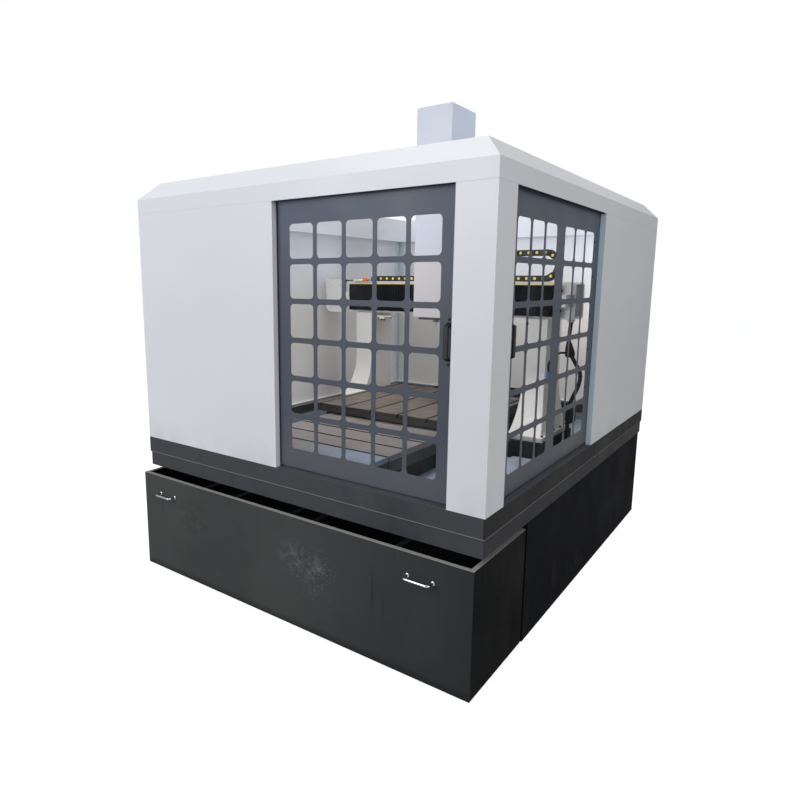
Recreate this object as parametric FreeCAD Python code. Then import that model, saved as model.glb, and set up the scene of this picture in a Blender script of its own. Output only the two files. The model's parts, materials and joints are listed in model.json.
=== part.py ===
import FreeCAD, Part
import math
import os

# A gantry machining centre in a sheet metal enclosure, in millimetres, +Z up.
# Everything is laid out from the front face of the enclosure: X to the right from its
# middle, Y to the rear, Z up from the floor. Each piece is then moved along Y so that
# the origin lies on the floor under the centre of the whole machine.

Vector = FreeCAD.Vector

# ---------------------------------------------------------------- enclosure
enclosure_width = 2021.0
enclosure_depth = 2522.0
sheet = 2.0                      # panel thickness
panel_return = 28.0              # depth of the folded edges of every panel
panel_seam = 0.5                 # gap between a side panel and its neighbours

band_top = 727.0                 # ledge on which panels and doors stand
upper_band_height = 84.0
lower_band_height = 76.0
lower_band_setback = 5.0
band_tube_width = 60.0
band_tube_wall = 4.0
band_wall = 3.0
ledge_width = 90.0

skirt_setback = 12.0
skirt_front = 470.0
skirt_return = 40.0

panel_height = 1199.0            # from the ledge to the fascia
fascia_height = 74.0
roof_rise = 87.0
roof_inset = 86.0
rear_roof_inset = 39.0
roof_lip_drop = 14.0             # the inner wall of the roof ring hangs this far below the fascia

front_panel_edge = -40.0         # X where the front doorway begins
post_width = 161.5
post_depth = 165.0
side_doorway_length = 1145.0

pan_drop = 33.0                  # pan floor below the upper band
pan_rim_height = 48.0
pan_bed_gap = 4.0
chute_front = 90.0
chute_length = 310.0
chute_end_margin = 65.5          # from the pan's edge to the chute

# ---------------------------------------------------------------- sliding doors
door_gap = 2.0                   # between a panel's folded edge and the leaf
leaf_thickness = 25.0
leaf_sheet = 2.0
leaf_lift = 10.0                 # leaf bottom above the ledge
leaf_cover = 24.0                # leaf top above the lower edge of the fascia
window_rows = 6
window_gap_across = 21.0
window_gap_up = 24.0
window_radius = 18.0
window_corner_chords = 2
window_bottom_margin = 87.0
window_top_margin = 123.0
pane_thickness = 4.0
pane_lap = 24.0

front_leaf_panel_lap = 5.0       # behind the front panel
front_leaf_post_lap = 11.0       # behind the corner post
front_leaf_margin_left = 80.0
front_leaf_margin_right = 76.0
front_window_columns = 5

side_leaf_lap = 45.0             # behind the post and behind the rear panel
side_leaf_margin_front = 132.0
side_leaf_margin_rear = 127.0
side_stile = 104.0               # between the two groups of windows
side_window_columns = 3          # in each group

front_handle_inset = 35.0        # from the leaf's closing edge
side_handle_inset = 82.0
door_handle_rise = 626.0         # middle of the pull above the leaf's bottom
door_handle_length = 146.0
door_handle_width = 20.0
door_handle_reach = 30.0
door_handle_slant = 13.5
door_handle_bar = 9.0

track_base = 2.0
track_rib_width = 6.0
track_rib_height = 5.0
track_base_width = 24.0
track_end_gap = 30.0
track_rear_gap = 60.0
glide_length = 60.0
glide_width = 18.0
glide_clearance = 0.3
glide_inset = 150.0
top_track_clearance = 1.0
top_track_lap = 16.0
top_track_headroom = 12.0
corner_track_gap = 110.0

# ---------------------------------------------------------------- chip drawer
drawer_proud = 51.0              # drawer front ahead of the enclosure's front face
drawer_length = 501.0
drawer_headroom = 29.0           # drawer top below the lower band
drawer_floor_gap = 8.0
drawer_floor_rise = 58.0         # tray floor above the lower edge of its walls
drawer_wall = 3.0
drawer_lip = 20.0
strip_width = 34.0
strip_thickness = 4.0
strip_drop = 38.0                # strips below the drawer's top
strip_left_insets = (396.5, 630.5)   # of the strips at the left, from the left wall
strip_middle_places = (10.0, 152.0)
strip_gap = 33.0                 # between the last strip and the grating
grating_end_gap = 44.5           # between the grating and the tray's right wall
grating_pitch = 12.0
grating_bars = 25
grating_bar = 3.0
grating_height = 20.0
grating_frame = 5.0
drawer_handle_span = 116.0
drawer_handle_reach = 38.0
drawer_handle_rod = 5.0          # radius
drawer_handle_bend = 14.0
drawer_handle_drop = 96.0        # below the drawer's top
drawer_handle_left_inset = 199.5
drawer_handle_right_inset = 225.5
drawer_foot_radius = 9.0
drawer_foot_thickness = 3.0
rod_sides = 12                   # flats on the drawer handles' bar
handle_bend_mitres = 3           # in each bend of that bar
wheel_radius = 28.0
wheel_width = 24.0
wheel_inset = 153.5
axle_radius = 8.0
axle_front = 40.0
axle_spacing = 330.0
lug_thickness = 6.0
lug_gap = 2.0
lug_width = 50.0
lug_below_axle = 12.0
running_clearance = 0.05

# ---------------------------------------------------------------- table
table_side_gap = 50.0            # between the table's side and a column
table_front = 835.0
table_depth = 900.0
table_top = 855.0
table_thickness = 48.0
slot_count = 6
slot_edge_margin = 37.5          # from the outermost slot to the table's side
slot_neck = 14.0
slot_neck_depth = 14.0
slot_head = 24.0
slot_head_depth = 10.0
table_pad = 28.0
y_travel = 450.0                 # each way from rest

# ---------------------------------------------------------------- linear guides
rail_width = 23.0
rail_height = 22.0
block_height = 36.0              # guide face to the top of the block
block_width = 50.0
block_length = 76.0
block_lift = 8.0
block_clearance = 1.0
motor_flange = 9.0
motor_flange_lip = 3.0
motor_chamfer = 7.0
motor_cap = 30.0
motor_cap_step = 5.0
seat_thickness = 30.0            # screw bearing seats
seat_cap = 10.0                  # seat above or beside the screw it holds
nut_length = 80.0
nut_wall = 10.0
nut_clearance = 0.3

# ---------------------------------------------------------------- bed
way_margin = 110.0               # bed beyond the middle of a Y rail
y_rail_inset = 250.0             # from the table's side to a Y rail
channel_room = 90.0              # beside the Y motor, to the channel's wall
bed_front = 125.0
bed_rear_gap = 12.0              # between the bed and the rear ledge
bed_bottom = 90.0
bed_channel_depth = 95.0
bed_nose_web = 20.0              # under the channel in the nose
bed_nose_knee_gap = 30.0         # nose runs this far past the chute
bed_leg_set_back = 90.0
bed_leg_slope = 68.0
bed_wide_margin = 50.0           # wide part beyond a column's inner face
bed_wide_front = 1220.0
bed_wide_rear_gap = 20.0
bed_wing_margin = 25.0           # wing beyond a column's foot
bed_wing_drop = 43.0             # wing top below the ways
bed_wing_edge = 90.0
bed_gusset_height = 300.0
bed_wall = 28.0                  # of the cored casting
bed_rib = 22.0
bed_core_rows = 3
bed_wide_core_rows = 2
foot_size = 90.0
foot_height = 24.0
foot_screw = 15.0                # half the width across the jack screw's flats
foot_inset = 60.0
foot_front_gap = 100.0

y_rail_front_gap = 175.0         # from the bed's front to the rails
y_rail_rear_gap = 140.0
y_screw_radius = 12.5
y_screw_depth = 53.0             # axis below the bed's top face
y_seat_front_gap = 140.0
y_seat_rear_gap = 155.0
y_motor_size = 80.0
y_motor_length = 130.0

# ---------------------------------------------------------------- gantry
beam_side_gap = 210.5            # between the beam's end and the enclosure's side
column_inset = 250.0             # from the beam's end to a column's inner face
column_height = 675.0
column_top_width = 130.0
column_foot_width = 190.0
column_top_lead = 36.0           # column ahead of the beam's front face at its top
column_foot_lead = 226.0
column_straight = 295.0          # straight upper part above the flare
column_foot_thickness = 28.0
column_foot_lap = 15.0
column_wall = 16.0

beam_front = 1526.0
beam_depth = 214.0
beam_height = 212.0
beam_corner_radius = 20.0
beam_wall = 14.0
beam_trough_height = 70.0
beam_trough_depth = 44.0
beam_seat_inset = 40.0
x_axis_rise = 105.0              # screw axis above the beam's underside
x_screw_lead = 4.0               # screw axis behind the beam's front face
x_rail_spacing = 120.0
x_rail_inset = 80.0
x_screw_radius = 12.5
x_motor_size = 80.0
x_motor_length = 125.0
motor_cover_gap = 20.0           # between the motor's end and its cover
motor_cover_rear_gap = 40.0
motor_cover_below = 3.0
motor_cover_above = 13.0
motor_cover_chamfer = 28.0

bellows_reach = 48.0             # ahead of the beam's front face
bellows_bottom_gap = 15.0
bellows_top_gap = 19.0
bellows_inset = 65.0             # from the beam's end
bellows_fold = 12.0
bellows_pleats = 10
bellows_skin = 1.2

# ---------------------------------------------------------------- carriage and spindle
carriage_x = 72.0
saddle_thickness = 45.0
saddle_rise = 10.0               # saddle bottom above the beam's underside
saddle_length = 960.0
saddle_trough_half = 35.0
saddle_trough_depth = 30.0
x_block_spacing = 142.0
housing_width = 224.0
housing_rise = 1.0               # housing bottom above the beam's underside
housing_front_gap = 8.0          # ahead of the spindle's flange
housing_headroom = 85.0          # above the motor
z_rail_offset = 70.0
z_rail_foot_gap = 15.0
z_rail_head_gap = 105.0
z_block_low_rise = 360.0         # above the slide's lower end
z_block_spacing = 320.0
z_nut_rise = 480.0
z_screw_radius = 10.0
z_screw_setback = 12.0
z_seat_foot_gap = 17.0
z_seat_head_gap = 25.0
z_motor_size = 60.0
z_motor_length = 130.0
slide_half_width = 100.0
slide_thickness = 24.0
slide_rise = 24.0                # slide bottom above the housing's
slide_length = 750.0
spindle_reach = 105.0            # spindle axis ahead of the slide
spindle_radius = 50.0
spindle_length = 343.0
spindle_flange_drop = 14.0       # flange bottom below the housing's
spindle_flange_thickness = 12.0
spindle_flange_half = 90.0
spindle_flange_front = 72.0      # ahead of the spindle's axis
spindle_flange_rear = 96.0
spindle_flange_corner = 14.0
clamp_rise = 50.0
clamp_height = 170.0
clamp_half_width = 75.0
clamp_front = 40.0
shaft_radius = 15.0
shaft_length = 190.0
collet_nut_radius = 20.0
collet_nut_height = 16.0
cutter_radius = 3.0
cutter_out = 22.0
cutter_in = 14.0

# ---------------------------------------------------------------- covers of the Y ways
cover_length = 320.0
cover_tuck = 85.0                # how far the last cover reaches under the table
cover_side = 40.0                # cover beyond the bed's side
cover_drop = 12.0                # cover top below the table's underside
cover_sheet = 1.5
cover_step = 2.5
cover_stagger = 4.0
cover_skirt_below = 37.0         # skirt below the top of the bed
cover_count = 4
table_lug_width = 40.0
rear_bellows_gap = 5.0           # narrower than the last cover, each side
rear_bellows_tuck = 15.0
rear_bellows_frame = 6.0

# ---------------------------------------------------------------- drag chain and conduit
chain_pitch = 50.0
chain_height = 38.0
chain_width = 56.0
chain_narrow = 46.0
chain_end_width = 10.0           # height of a link's blunt end
chain_rear_gap = 110.0           # chain middle ahead of the beam's rear face
chain_radius = 75.0
chain_turn_inset = 194.0         # from the beam's end to the turn
chain_fixed_inset = 300.0
chain_arm_reach = 80.0           # moving end to the right of the carriage's middle
chain_arm_thickness = 6.0
chain_arm_width = 60.0

conduit_radius = 12.0
conduit_sides = 8
gland_radius = 21.0
gland_height = 18.0
conduit_bulge = (
    (0.0, 87.0),
    (29.0, 90.0),
    (86.0, 82.0),
    (115.0, 98.0),
    (97.0, 95.0),
    (47.0, 90.0),
    (24.0, 100.0),
    (24.0, 87.0),
)                                # how far the conduit stands out, and how far each run drops
conduit_top_inset = 30.0         # from the beam's end
conduit_top_setback = 99.0       # behind the beam's front face
conduit_heading = -35.0          # degrees from +X in which it stands out

# ---------------------------------------------------------------- derived places
half = enclosure_width / 2.0
upper_band_bottom = band_top - upper_band_height
lower_band_bottom = upper_band_bottom - lower_band_height
band_inner = lower_band_setback + band_tube_width
skirt_half = half - skirt_setback
fascia_bottom = band_top + panel_height
roof_edge = fascia_bottom + fascia_height
roof_top = roof_edge + roof_rise
post_edge = half - post_width
side_panel_edge = post_depth + side_doorway_length
pan_floor = upper_band_bottom - pan_drop
chute_rear = chute_front + chute_length
chute_half_width = half - band_inner - chute_end_margin

leaf_front = panel_return + door_gap
leaf_middle = leaf_front + leaf_thickness / 2.0
leaf_rear = leaf_front + leaf_thickness
leaf_bottom = band_top + leaf_lift
leaf_top = fascia_bottom + leaf_cover
front_leaf_left = front_panel_edge - front_leaf_panel_lap
front_leaf_right = post_edge + front_leaf_post_lap
side_leaf_front = post_depth - side_leaf_lap
side_leaf_rear = side_panel_edge + side_leaf_lap
door_handle_height = leaf_bottom + door_handle_rise

drawer_top = lower_band_bottom - drawer_headroom
drawer_floor = drawer_floor_gap + drawer_floor_rise
drawer_rear = drawer_length - drawer_proud
drawer_handle_height = drawer_top - drawer_handle_drop
drawer_handle_left_x = drawer_handle_left_inset - skirt_half
drawer_handle_right_x = skirt_half - drawer_handle_right_inset
strip_top = drawer_top - strip_drop
grating_right = skirt_half - drawer_wall - grating_end_gap
grating_left = grating_right - grating_pitch * (grating_bars - 1) - grating_bar
strip_places = (
    *(inset - skirt_half for inset in strip_left_insets), *strip_middle_places,
    grating_left - strip_gap - strip_width / 2.0,
)
wheel_place = skirt_half - wheel_inset
axle_half_length = wheel_place + wheel_width / 2.0
axle_rear = axle_front + axle_spacing

beam_half_length = half - beam_side_gap
beam_rear = beam_front + beam_depth
column_inner = beam_half_length - column_inset
column_top_outer = column_inner + column_top_width
column_foot_outer = column_inner + column_foot_width
column_top_front = beam_front - column_top_lead
column_foot_front = beam_front - column_foot_lead

table_half_width = column_inner - table_side_gap
table_rear = table_front + table_depth
table_middle = (table_front + table_rear) / 2.0
table_under = table_top - table_thickness
y_block_offset = y_rail_inset + block_width
y_rail_offset = table_half_width - y_rail_inset

bed_top = table_under - table_pad - block_height
bed_half_width = y_rail_offset + way_margin
bed_channel_half = y_motor_size / 2.0 + channel_room
bed_channel_floor = bed_top - bed_channel_depth
bed_rear = enclosure_depth - ledge_width - bed_rear_gap
bed_nose_bottom = bed_channel_floor - bed_nose_web
bed_nose_knee = chute_rear + bed_nose_knee_gap
bed_leg_front = bed_nose_knee + bed_leg_set_back
bed_leg_shoulder = bed_nose_bottom - bed_leg_slope
bed_wide_half = column_inner + bed_wide_margin
bed_wide_rear = bed_rear - bed_wide_rear_gap
bed_wing_half = column_foot_outer + bed_wing_margin
bed_wing_front = column_foot_front - bed_wing_margin - column_foot_lap
bed_wing_rear = beam_rear + bed_wing_margin
bed_wing_top = bed_top - bed_wing_drop
bed_gusset_bottom = bed_wing_top - bed_gusset_height
y_screw_z = bed_top - y_screw_depth
y_seat_front = bed_front + y_seat_front_gap
y_seat_rear = bed_rear - y_seat_rear_gap

beam_bottom = bed_wing_top + column_height
beam_top = beam_bottom + beam_height
beam_seat = beam_half_length - beam_seat_inset
x_axis_height = beam_bottom + x_axis_rise
x_screw_y = beam_front + x_screw_lead
bellows_front = beam_front - bellows_reach
bellows_bottom = beam_bottom + bellows_bottom_gap
bellows_top = beam_top - bellows_top_gap
bellows_end = beam_half_length - bellows_inset

saddle_rear = beam_front - block_height
saddle_front = saddle_rear - saddle_thickness
saddle_half = housing_width / 2.0 - sheet
saddle_bottom = beam_bottom + saddle_rise
saddle_top = saddle_bottom + saddle_length
z_screw_y = saddle_front + z_screw_setback
z_rail_bottom = saddle_bottom + z_rail_foot_gap
z_rail_top = saddle_top - z_rail_head_gap
z_seat_low = saddle_bottom + z_seat_foot_gap
z_seat_high = saddle_top - z_seat_head_gap - seat_thickness
housing_left = carriage_x - housing_width / 2.0
housing_right = carriage_x + housing_width / 2.0
housing_bottom = beam_bottom + housing_rise
housing_top = saddle_top + z_motor_length + housing_headroom
slide_rear = saddle_front - block_height
slide_front = slide_rear - slide_thickness
slide_bottom = housing_bottom + slide_rise
slide_top = slide_bottom + slide_length
z_block_low = slide_bottom + z_block_low_rise
z_block_high = z_block_low + z_block_spacing
z_nut_height = slide_bottom + z_nut_rise
clamp_bottom = slide_bottom + clamp_rise
spindle_y = slide_front - spindle_reach
spindle_flange_bottom = housing_bottom - spindle_flange_drop
spindle_top = spindle_flange_bottom + spindle_length
housing_front = spindle_y - spindle_flange_front - housing_front_gap

cover_half_width = bed_half_width + cover_side
cover_top = table_under - cover_drop
cover_skirt_bottom = bed_top - cover_skirt_below
cover_last_start = table_front + cover_tuck - cover_length
cover_first_start = cover_last_start - y_travel - cover_stagger * (cover_count - 1)
rear_bellows_half = cover_half_width - rear_bellows_gap

chain_y = beam_rear - chain_rear_gap
chain_turn_x = beam_half_length - chain_turn_inset
chain_fixed_x = chain_fixed_inset - beam_half_length
chain_moving_x = carriage_x + chain_arm_reach

footprint_front = -(drawer_proud + drawer_handle_reach + drawer_handle_rod)
footprint_middle = (enclosure_depth + footprint_front) / 2.0


# ================================================================ helpers
def box(x0, x1, y0, y1, z0, z1):
    """A block between two corners."""
    return Part.makeBox(x1 - x0, y1 - y0, z1 - z0, Vector(x0, y0, z0))


def rod(start, direction, radius, length):
    """A round bar from a point along a direction."""
    return Part.makeCylinder(radius, length, Vector(*start), Vector(*direction))


def fuse(shapes):
    """One piece from shapes that meet, with the seams in flat faces removed."""
    return shapes[0].fuse(shapes[1:]).removeSplitter()


def prism(points, direction):
    """A closed outline of points, extruded along a direction."""
    corners = [Vector(*p) for p in points]
    return Part.Face(Part.makePolygon(corners + corners[:1])).extrude(Vector(*direction))


def prism_along_x(outline, x0, x1):
    """A (y, z) outline extruded from x0 to x1."""
    return prism([(x0, y, z) for y, z in outline], (x1 - x0, 0, 0))


def prism_along_y(outline, y0, y1):
    """An (x, z) outline extruded from y0 to y1."""
    return prism([(x, y0, z) for x, z in outline], (0, y1 - y0, 0))


def prism_along_z(outline, z0, z1):
    """An (x, y) outline extruded from z0 to z1."""
    return prism([(x, y, z0) for x, y in outline], (0, 0, z1 - z0))


def mirrored(shape):
    """The same piece on the other side of the machine's middle plane."""
    return shape.mirror(Vector(0, 0, 0), Vector(1, 0, 0))


def on_right_side(shape):
    """Turns a piece drawn for the front face onto the right-hand face."""
    turned = shape.copy()
    turned.rotate(Vector(0, 0, 0), Vector(0, 0, 1), 90)
    turned.translate(Vector(half, 0, 0))
    return turned


def ring(profile, rear_profile=None):
    """A mitred ring round the enclosure from an (inset, height) outline.

    The rear side may have an outline of its own with as many points.
    """
    rear_profile = rear_profile or profile
    corners = []
    for (inset, height), (rear_inset, _) in zip(profile, rear_profile):
        side = half - inset
        rear = enclosure_depth - rear_inset
        corners.append((
            Vector(-side, inset, height),
            Vector(side, inset, height),
            Vector(side, rear, height),
            Vector(-side, rear, height),
        ))
    faces = []
    for here, after in zip(corners, corners[1:] + corners[:1]):
        for k in range(4):
            n = (k + 1) % 4
            loop = [here[k], here[n], after[n], after[k], here[k]]
            faces.append(Part.Face(Part.makePolygon(loop)))
    shell = Part.makeShell(faces)
    shell.sewShape()
    solid = Part.makeSolid(shell)
    if solid.Volume < 0:
        solid.reverse()
    return solid


def rounded_window(u0, u1, z0, z1, radius, y):
    """The outline of an upright rectangle with round corners, in the plane at y.

    Each corner is a quarter circle in short chords.
    """
    corners = (
        (u1 - radius, z0 + radius, -90.0),
        (u1 - radius, z1 - radius, 0.0),
        (u0 + radius, z1 - radius, 90.0),
        (u0 + radius, z0 + radius, 180.0),
    )
    points = []
    for cu, cz, start in corners:
        for step in range(window_corner_chords + 1):
            angle = math.radians(start + 90.0 * step / window_corner_chords)
            points.append(Vector(cu + radius * math.cos(angle), y, cz + radius * math.sin(angle)))
    return Part.makePolygon(points + points[:1])


def regular_outline(centre, first, second, radius, sides):
    """The corners of a regular polygon round a centre, in the plane of two directions."""
    corners = []
    for k in range(sides):
        angle = 2.0 * math.pi * (k + 0.5) / sides
        corners.append(centre + first * (radius * math.cos(angle)) + second * (radius * math.sin(angle)))
    return corners


def hexagon_bar(x, y, z, radius, height):
    """An upright six-sided bar standing at x, y, z."""
    corners = regular_outline(Vector(x, y, z), Vector(1, 0, 0), Vector(0, 1, 0), radius, 6)
    return prism(corners, (0, 0, height))


def solid_between(loops):
    """A closed solid through loops of points, flat faces joining each loop to the next."""
    faces = [
        Part.Face(Part.makePolygon(loops[0] + loops[0][:1])),
        Part.Face(Part.makePolygon(loops[-1] + loops[-1][:1])),
    ]
    for here, after in zip(loops, loops[1:]):
        count = len(here)
        for k in range(count):
            n = (k + 1) % count
            faces.append(Part.Face(Part.makePolygon([here[k], here[n], after[n], after[k], here[k]])))
    shell = Part.makeShell(faces)
    shell.sewShape()
    solid = Part.makeSolid(shell)
    if solid.Volume < 0:
        solid.reverse()
    return solid


# ================================================================ enclosure
def upper_band():
    """Folded base band with the ledge for panels and doors, and the doors' lower tracks."""
    outline = [
        (0, upper_band_bottom),
        (band_inner, upper_band_bottom),
        (band_inner, upper_band_bottom + band_wall),
        (band_wall, upper_band_bottom + band_wall),
        (band_wall, band_top - band_wall),
        (ledge_width, band_top - band_wall),
        (ledge_width, band_top),
        (0, band_top),
    ]
    front_track = lower_track(-half + track_end_gap, half - corner_track_gap)
    side_track = on_right_side(lower_track(corner_track_gap, enclosure_depth - track_rear_gap))
    return fuse([ring(outline), front_track, side_track])


def lower_track(u0, u1):
    """Flat strip with an upstanding rib that a door's glides straddle."""
    base_half = track_base_width / 2.0
    rib_half = track_rib_width / 2.0
    rib_top = band_top + track_base + track_rib_height
    base = box(u0, u1, leaf_middle - base_half, leaf_middle + base_half, band_top, band_top + track_base)
    rib = box(u0, u1, leaf_middle - rib_half, leaf_middle + rib_half, band_top + track_base, rib_top)
    return base.fuse(rib).removeSplitter()


def lower_band():
    """Ring of square tube under the upper band, set back a little."""
    outer = [
        (lower_band_setback, lower_band_bottom),
        (band_inner, lower_band_bottom),
        (band_inner, upper_band_bottom),
        (lower_band_setback, upper_band_bottom),
    ]
    wall = band_tube_wall
    inner = [
        (lower_band_setback + wall, lower_band_bottom + wall),
        (band_inner - wall, lower_band_bottom + wall),
        (band_inner - wall, upper_band_bottom - wall),
        (lower_band_setback + wall, upper_band_bottom - wall),
    ]
    return ring(outer).cut(ring(inner))


def skirt_side():
    """Right-hand lower skirt, folded inwards on all four edges."""
    y1 = enclosure_depth - skirt_setback - skirt_return - panel_seam
    outer = box(skirt_half - skirt_return, skirt_half, skirt_front, y1, 0, lower_band_bottom)
    hollow = box(0, skirt_half - sheet, skirt_front + sheet, y1 - sheet, sheet, lower_band_bottom - sheet)
    return outer.cut(hollow)


def skirt_rear():
    """Rear skirt, wrapped round both rear corners."""
    y1 = enclosure_depth - skirt_setback
    outer = box(-skirt_half, skirt_half, y1 - skirt_return, y1, 0, lower_band_bottom)
    inner = skirt_half - sheet
    hollow = box(-inner, inner, 0, y1 - sheet, sheet, lower_band_bottom - sheet)
    return outer.cut(hollow)


def front_panel(u0, u1):
    """Upright panel with four folded edges, drawn on the front face."""
    outer = box(u0, u1, 0, panel_return, band_top, fascia_bottom)
    hollow = box(u0 + sheet, u1 - sheet, sheet, panel_return * 2, band_top + sheet, fascia_bottom - sheet)
    return outer.cut(hollow)


def left_panel():
    """The plain left-hand side."""
    y0 = panel_return + panel_seam
    y1 = enclosure_depth - panel_return - panel_seam
    outer = box(-half, -half + panel_return, y0, y1, band_top, fascia_bottom)
    hollow = box(-half + sheet, 0, y0 + sheet, y1 - sheet, band_top + sheet, fascia_bottom - sheet)
    return outer.cut(hollow)


def rear_panel():
    """The plain rear, wrapped round both rear corners."""
    outer = box(-half, half, enclosure_depth - panel_return, enclosure_depth, band_top, fascia_bottom)
    inner = half - sheet
    hollow = box(-inner, inner, 0, enclosure_depth - sheet, band_top + sheet, fascia_bottom - sheet)
    return outer.cut(hollow)


def corner_post():
    """Folded post between the front and the side doorway."""
    outline = [
        (post_edge, panel_return),
        (post_edge, 0),
        (half, 0),
        (half, post_depth),
        (half - panel_return, post_depth),
        (half - panel_return, post_depth - sheet),
        (half - sheet, post_depth - sheet),
        (half - sheet, sheet),
        (post_edge + sheet, sheet),
        (post_edge + sheet, panel_return),
    ]
    return prism_along_z(outline, band_top, fascia_bottom)


def roof_profile(inset):
    """Section of the roof ring: fascia, slope and inner wall, open underneath."""
    slope = math.atan2(roof_rise, inset)
    drop = sheet / math.cos(slope)
    shift = sheet * math.tan(slope)
    lip = fascia_bottom - roof_lip_drop
    return [
        (0, fascia_bottom),
        (0, roof_edge),
        (inset, roof_top),
        (inset, lip),
        (inset - sheet, lip),
        (inset - sheet, roof_top - drop - shift),
        (sheet, roof_edge - drop + shift),
        (sheet, fascia_bottom),
    ]


def roof_ring():
    """Hipped ring that closes the top edge and leaves the roof open."""
    return ring(roof_profile(roof_inset), roof_profile(rear_roof_inset))


def chip_pan():
    """Shallow pan between the bands and the bed, with a chute into the drawer."""
    side = half - band_inner
    rear = enclosure_depth - band_inner
    bottom = pan_floor - sheet
    outer = box(-side, side, band_inner, rear, bottom, pan_floor + pan_rim_height)
    hollow = box(-side + sheet, side - sheet, band_inner + sheet, rear - sheet, pan_floor, band_top)
    gap = pan_bed_gap
    openings = [
        box(-bed_half_width - gap, bed_half_width + gap, bed_nose_knee - gap, bed_rear + gap, 0, band_top),
        box(-bed_wide_half - gap, bed_wide_half + gap, bed_wide_front - gap, bed_wide_rear + gap, 0, band_top),
        box(-bed_wing_half - gap, bed_wing_half + gap, bed_wing_front - gap, bed_wing_rear + gap, 0, band_top),
        box(-chute_half_width, chute_half_width, chute_front, chute_rear, 0, band_top),
    ]
    x, y, _ = conduit_points()[-1]
    gland = hexagon_bar(x, y, pan_floor, gland_radius, gland_height)
    return fuse([outer.cut([hollow] + openings), gland])


# ================================================================ doors
def top_track(u0, u1):
    """Downward channel for a leaf's top edge, hung from the roof ring's inner wall."""
    inner0 = leaf_front - top_track_clearance
    inner1 = leaf_rear + top_track_clearance
    mouth = leaf_top - top_track_lap
    web = leaf_top + top_track_headroom
    outline = [
        (inner0 - sheet, mouth),
        (inner0, mouth),
        (inner0, web),
        (inner1, web),
        (inner1, mouth),
        (inner1 + sheet, mouth),
        (inner1 + sheet, web),
        (roof_inset - sheet, web),
        (roof_inset - sheet, web + sheet),
        (inner0 - sheet, web + sheet),
    ]
    return prism_along_x(outline, u0, u1)


def window_spans(u0, u1, gap, count):
    """Start and end of each window when count of them fill u0 to u1."""
    width = (u1 - u0 - gap * (count - 1)) / count
    return [(u0 + k * (width + gap), u0 + k * (width + gap) + width) for k in range(count)]


def leaf(u0, u1, column_spans):
    """Sheet leaf with folded edges and rows of round-cornered windows."""
    corners = [(u0, leaf_bottom), (u1, leaf_bottom), (u1, leaf_top), (u0, leaf_top), (u0, leaf_bottom)]
    outline = Part.makePolygon([Vector(u, leaf_front, z) for u, z in corners])
    rows = window_spans(leaf_bottom + window_bottom_margin, leaf_top - window_top_margin, window_gap_up, window_rows)
    wires = [outline]
    for a, b in column_spans:
        for c, d in rows:
            wires.append(rounded_window(a, b, c, d, window_radius, leaf_front))
    face = Part.makeFace(wires, "Part::FaceMakerBullseye")
    plate = face.extrude(Vector(0, leaf_sheet, 0))
    edge = leaf_sheet
    outer = box(u0, u1, leaf_front, leaf_rear, leaf_bottom, leaf_top)
    inner = box(u0 + edge, u1 - edge, leaf_front, leaf_rear, leaf_bottom + edge, leaf_top - edge)
    return fuse([plate, outer.cut(inner)])


def pane(column_spans):
    """Clear plate fixed behind the windows."""
    y0 = leaf_front + leaf_sheet
    z0 = leaf_bottom + window_bottom_margin - pane_lap
    z1 = leaf_top - window_top_margin + pane_lap
    u0 = column_spans[0][0] - pane_lap
    u1 = column_spans[-1][1] + pane_lap
    return box(u0, u1, y0, y0 + pane_thickness, z0, z1)


def door_handle(u):
    """Bar pull whose ends slant back to the leaf, centred at u."""
    foot = door_handle_length / 2.0
    slant = door_handle_slant
    bar = door_handle_bar
    y = leaf_front
    along = math.hypot(door_handle_reach, slant)
    thick = bar * along / door_handle_reach
    inner = foot - thick - slant * (door_handle_reach - bar) / door_handle_reach
    outline = [
        (y, foot),
        (y - door_handle_reach, foot - slant),
        (y - door_handle_reach, slant - foot),
        (y, -foot),
        (y, thick - foot),
        (y - door_handle_reach + bar, -inner),
        (y - door_handle_reach + bar, inner),
        (y, foot - thick),
    ]
    raised = [(a, door_handle_height + b) for a, b in outline]
    return prism_along_x(raised, u - door_handle_width / 2.0, u + door_handle_width / 2.0)


def door_glides(u0, u1):
    """Two plastic shoes under a leaf, each with a groove over the track's rib."""
    wide = glide_width / 2.0
    groove = track_rib_width / 2.0 + glide_clearance
    base = band_top + track_base + glide_clearance
    ceiling = band_top + track_base + track_rib_height + glide_clearance
    shoes = []
    for u in (u0 + glide_inset, u1 - glide_inset):
        a = u - glide_length / 2.0
        b = u + glide_length / 2.0
        shoe = box(a, b, leaf_middle - wide, leaf_middle + wide, base, leaf_bottom)
        shoes.append(shoe.cut(box(a, b, leaf_middle - groove, leaf_middle + groove, base, ceiling)))
    return Part.makeCompound(shoes)


def front_door():
    """Pieces of the front door by name."""
    spans = window_spans(
        front_leaf_left + front_leaf_margin_left,
        front_leaf_right - front_leaf_margin_right,
        window_gap_across,
        front_window_columns,
    )
    return {
        "front_door_leaf": leaf(front_leaf_left, front_leaf_right, spans),
        "front_door_pane": pane(spans),
        "front_door_handle": door_handle(front_leaf_right - front_handle_inset),
        "front_door_glides": door_glides(front_leaf_left, front_leaf_right),
    }


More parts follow.
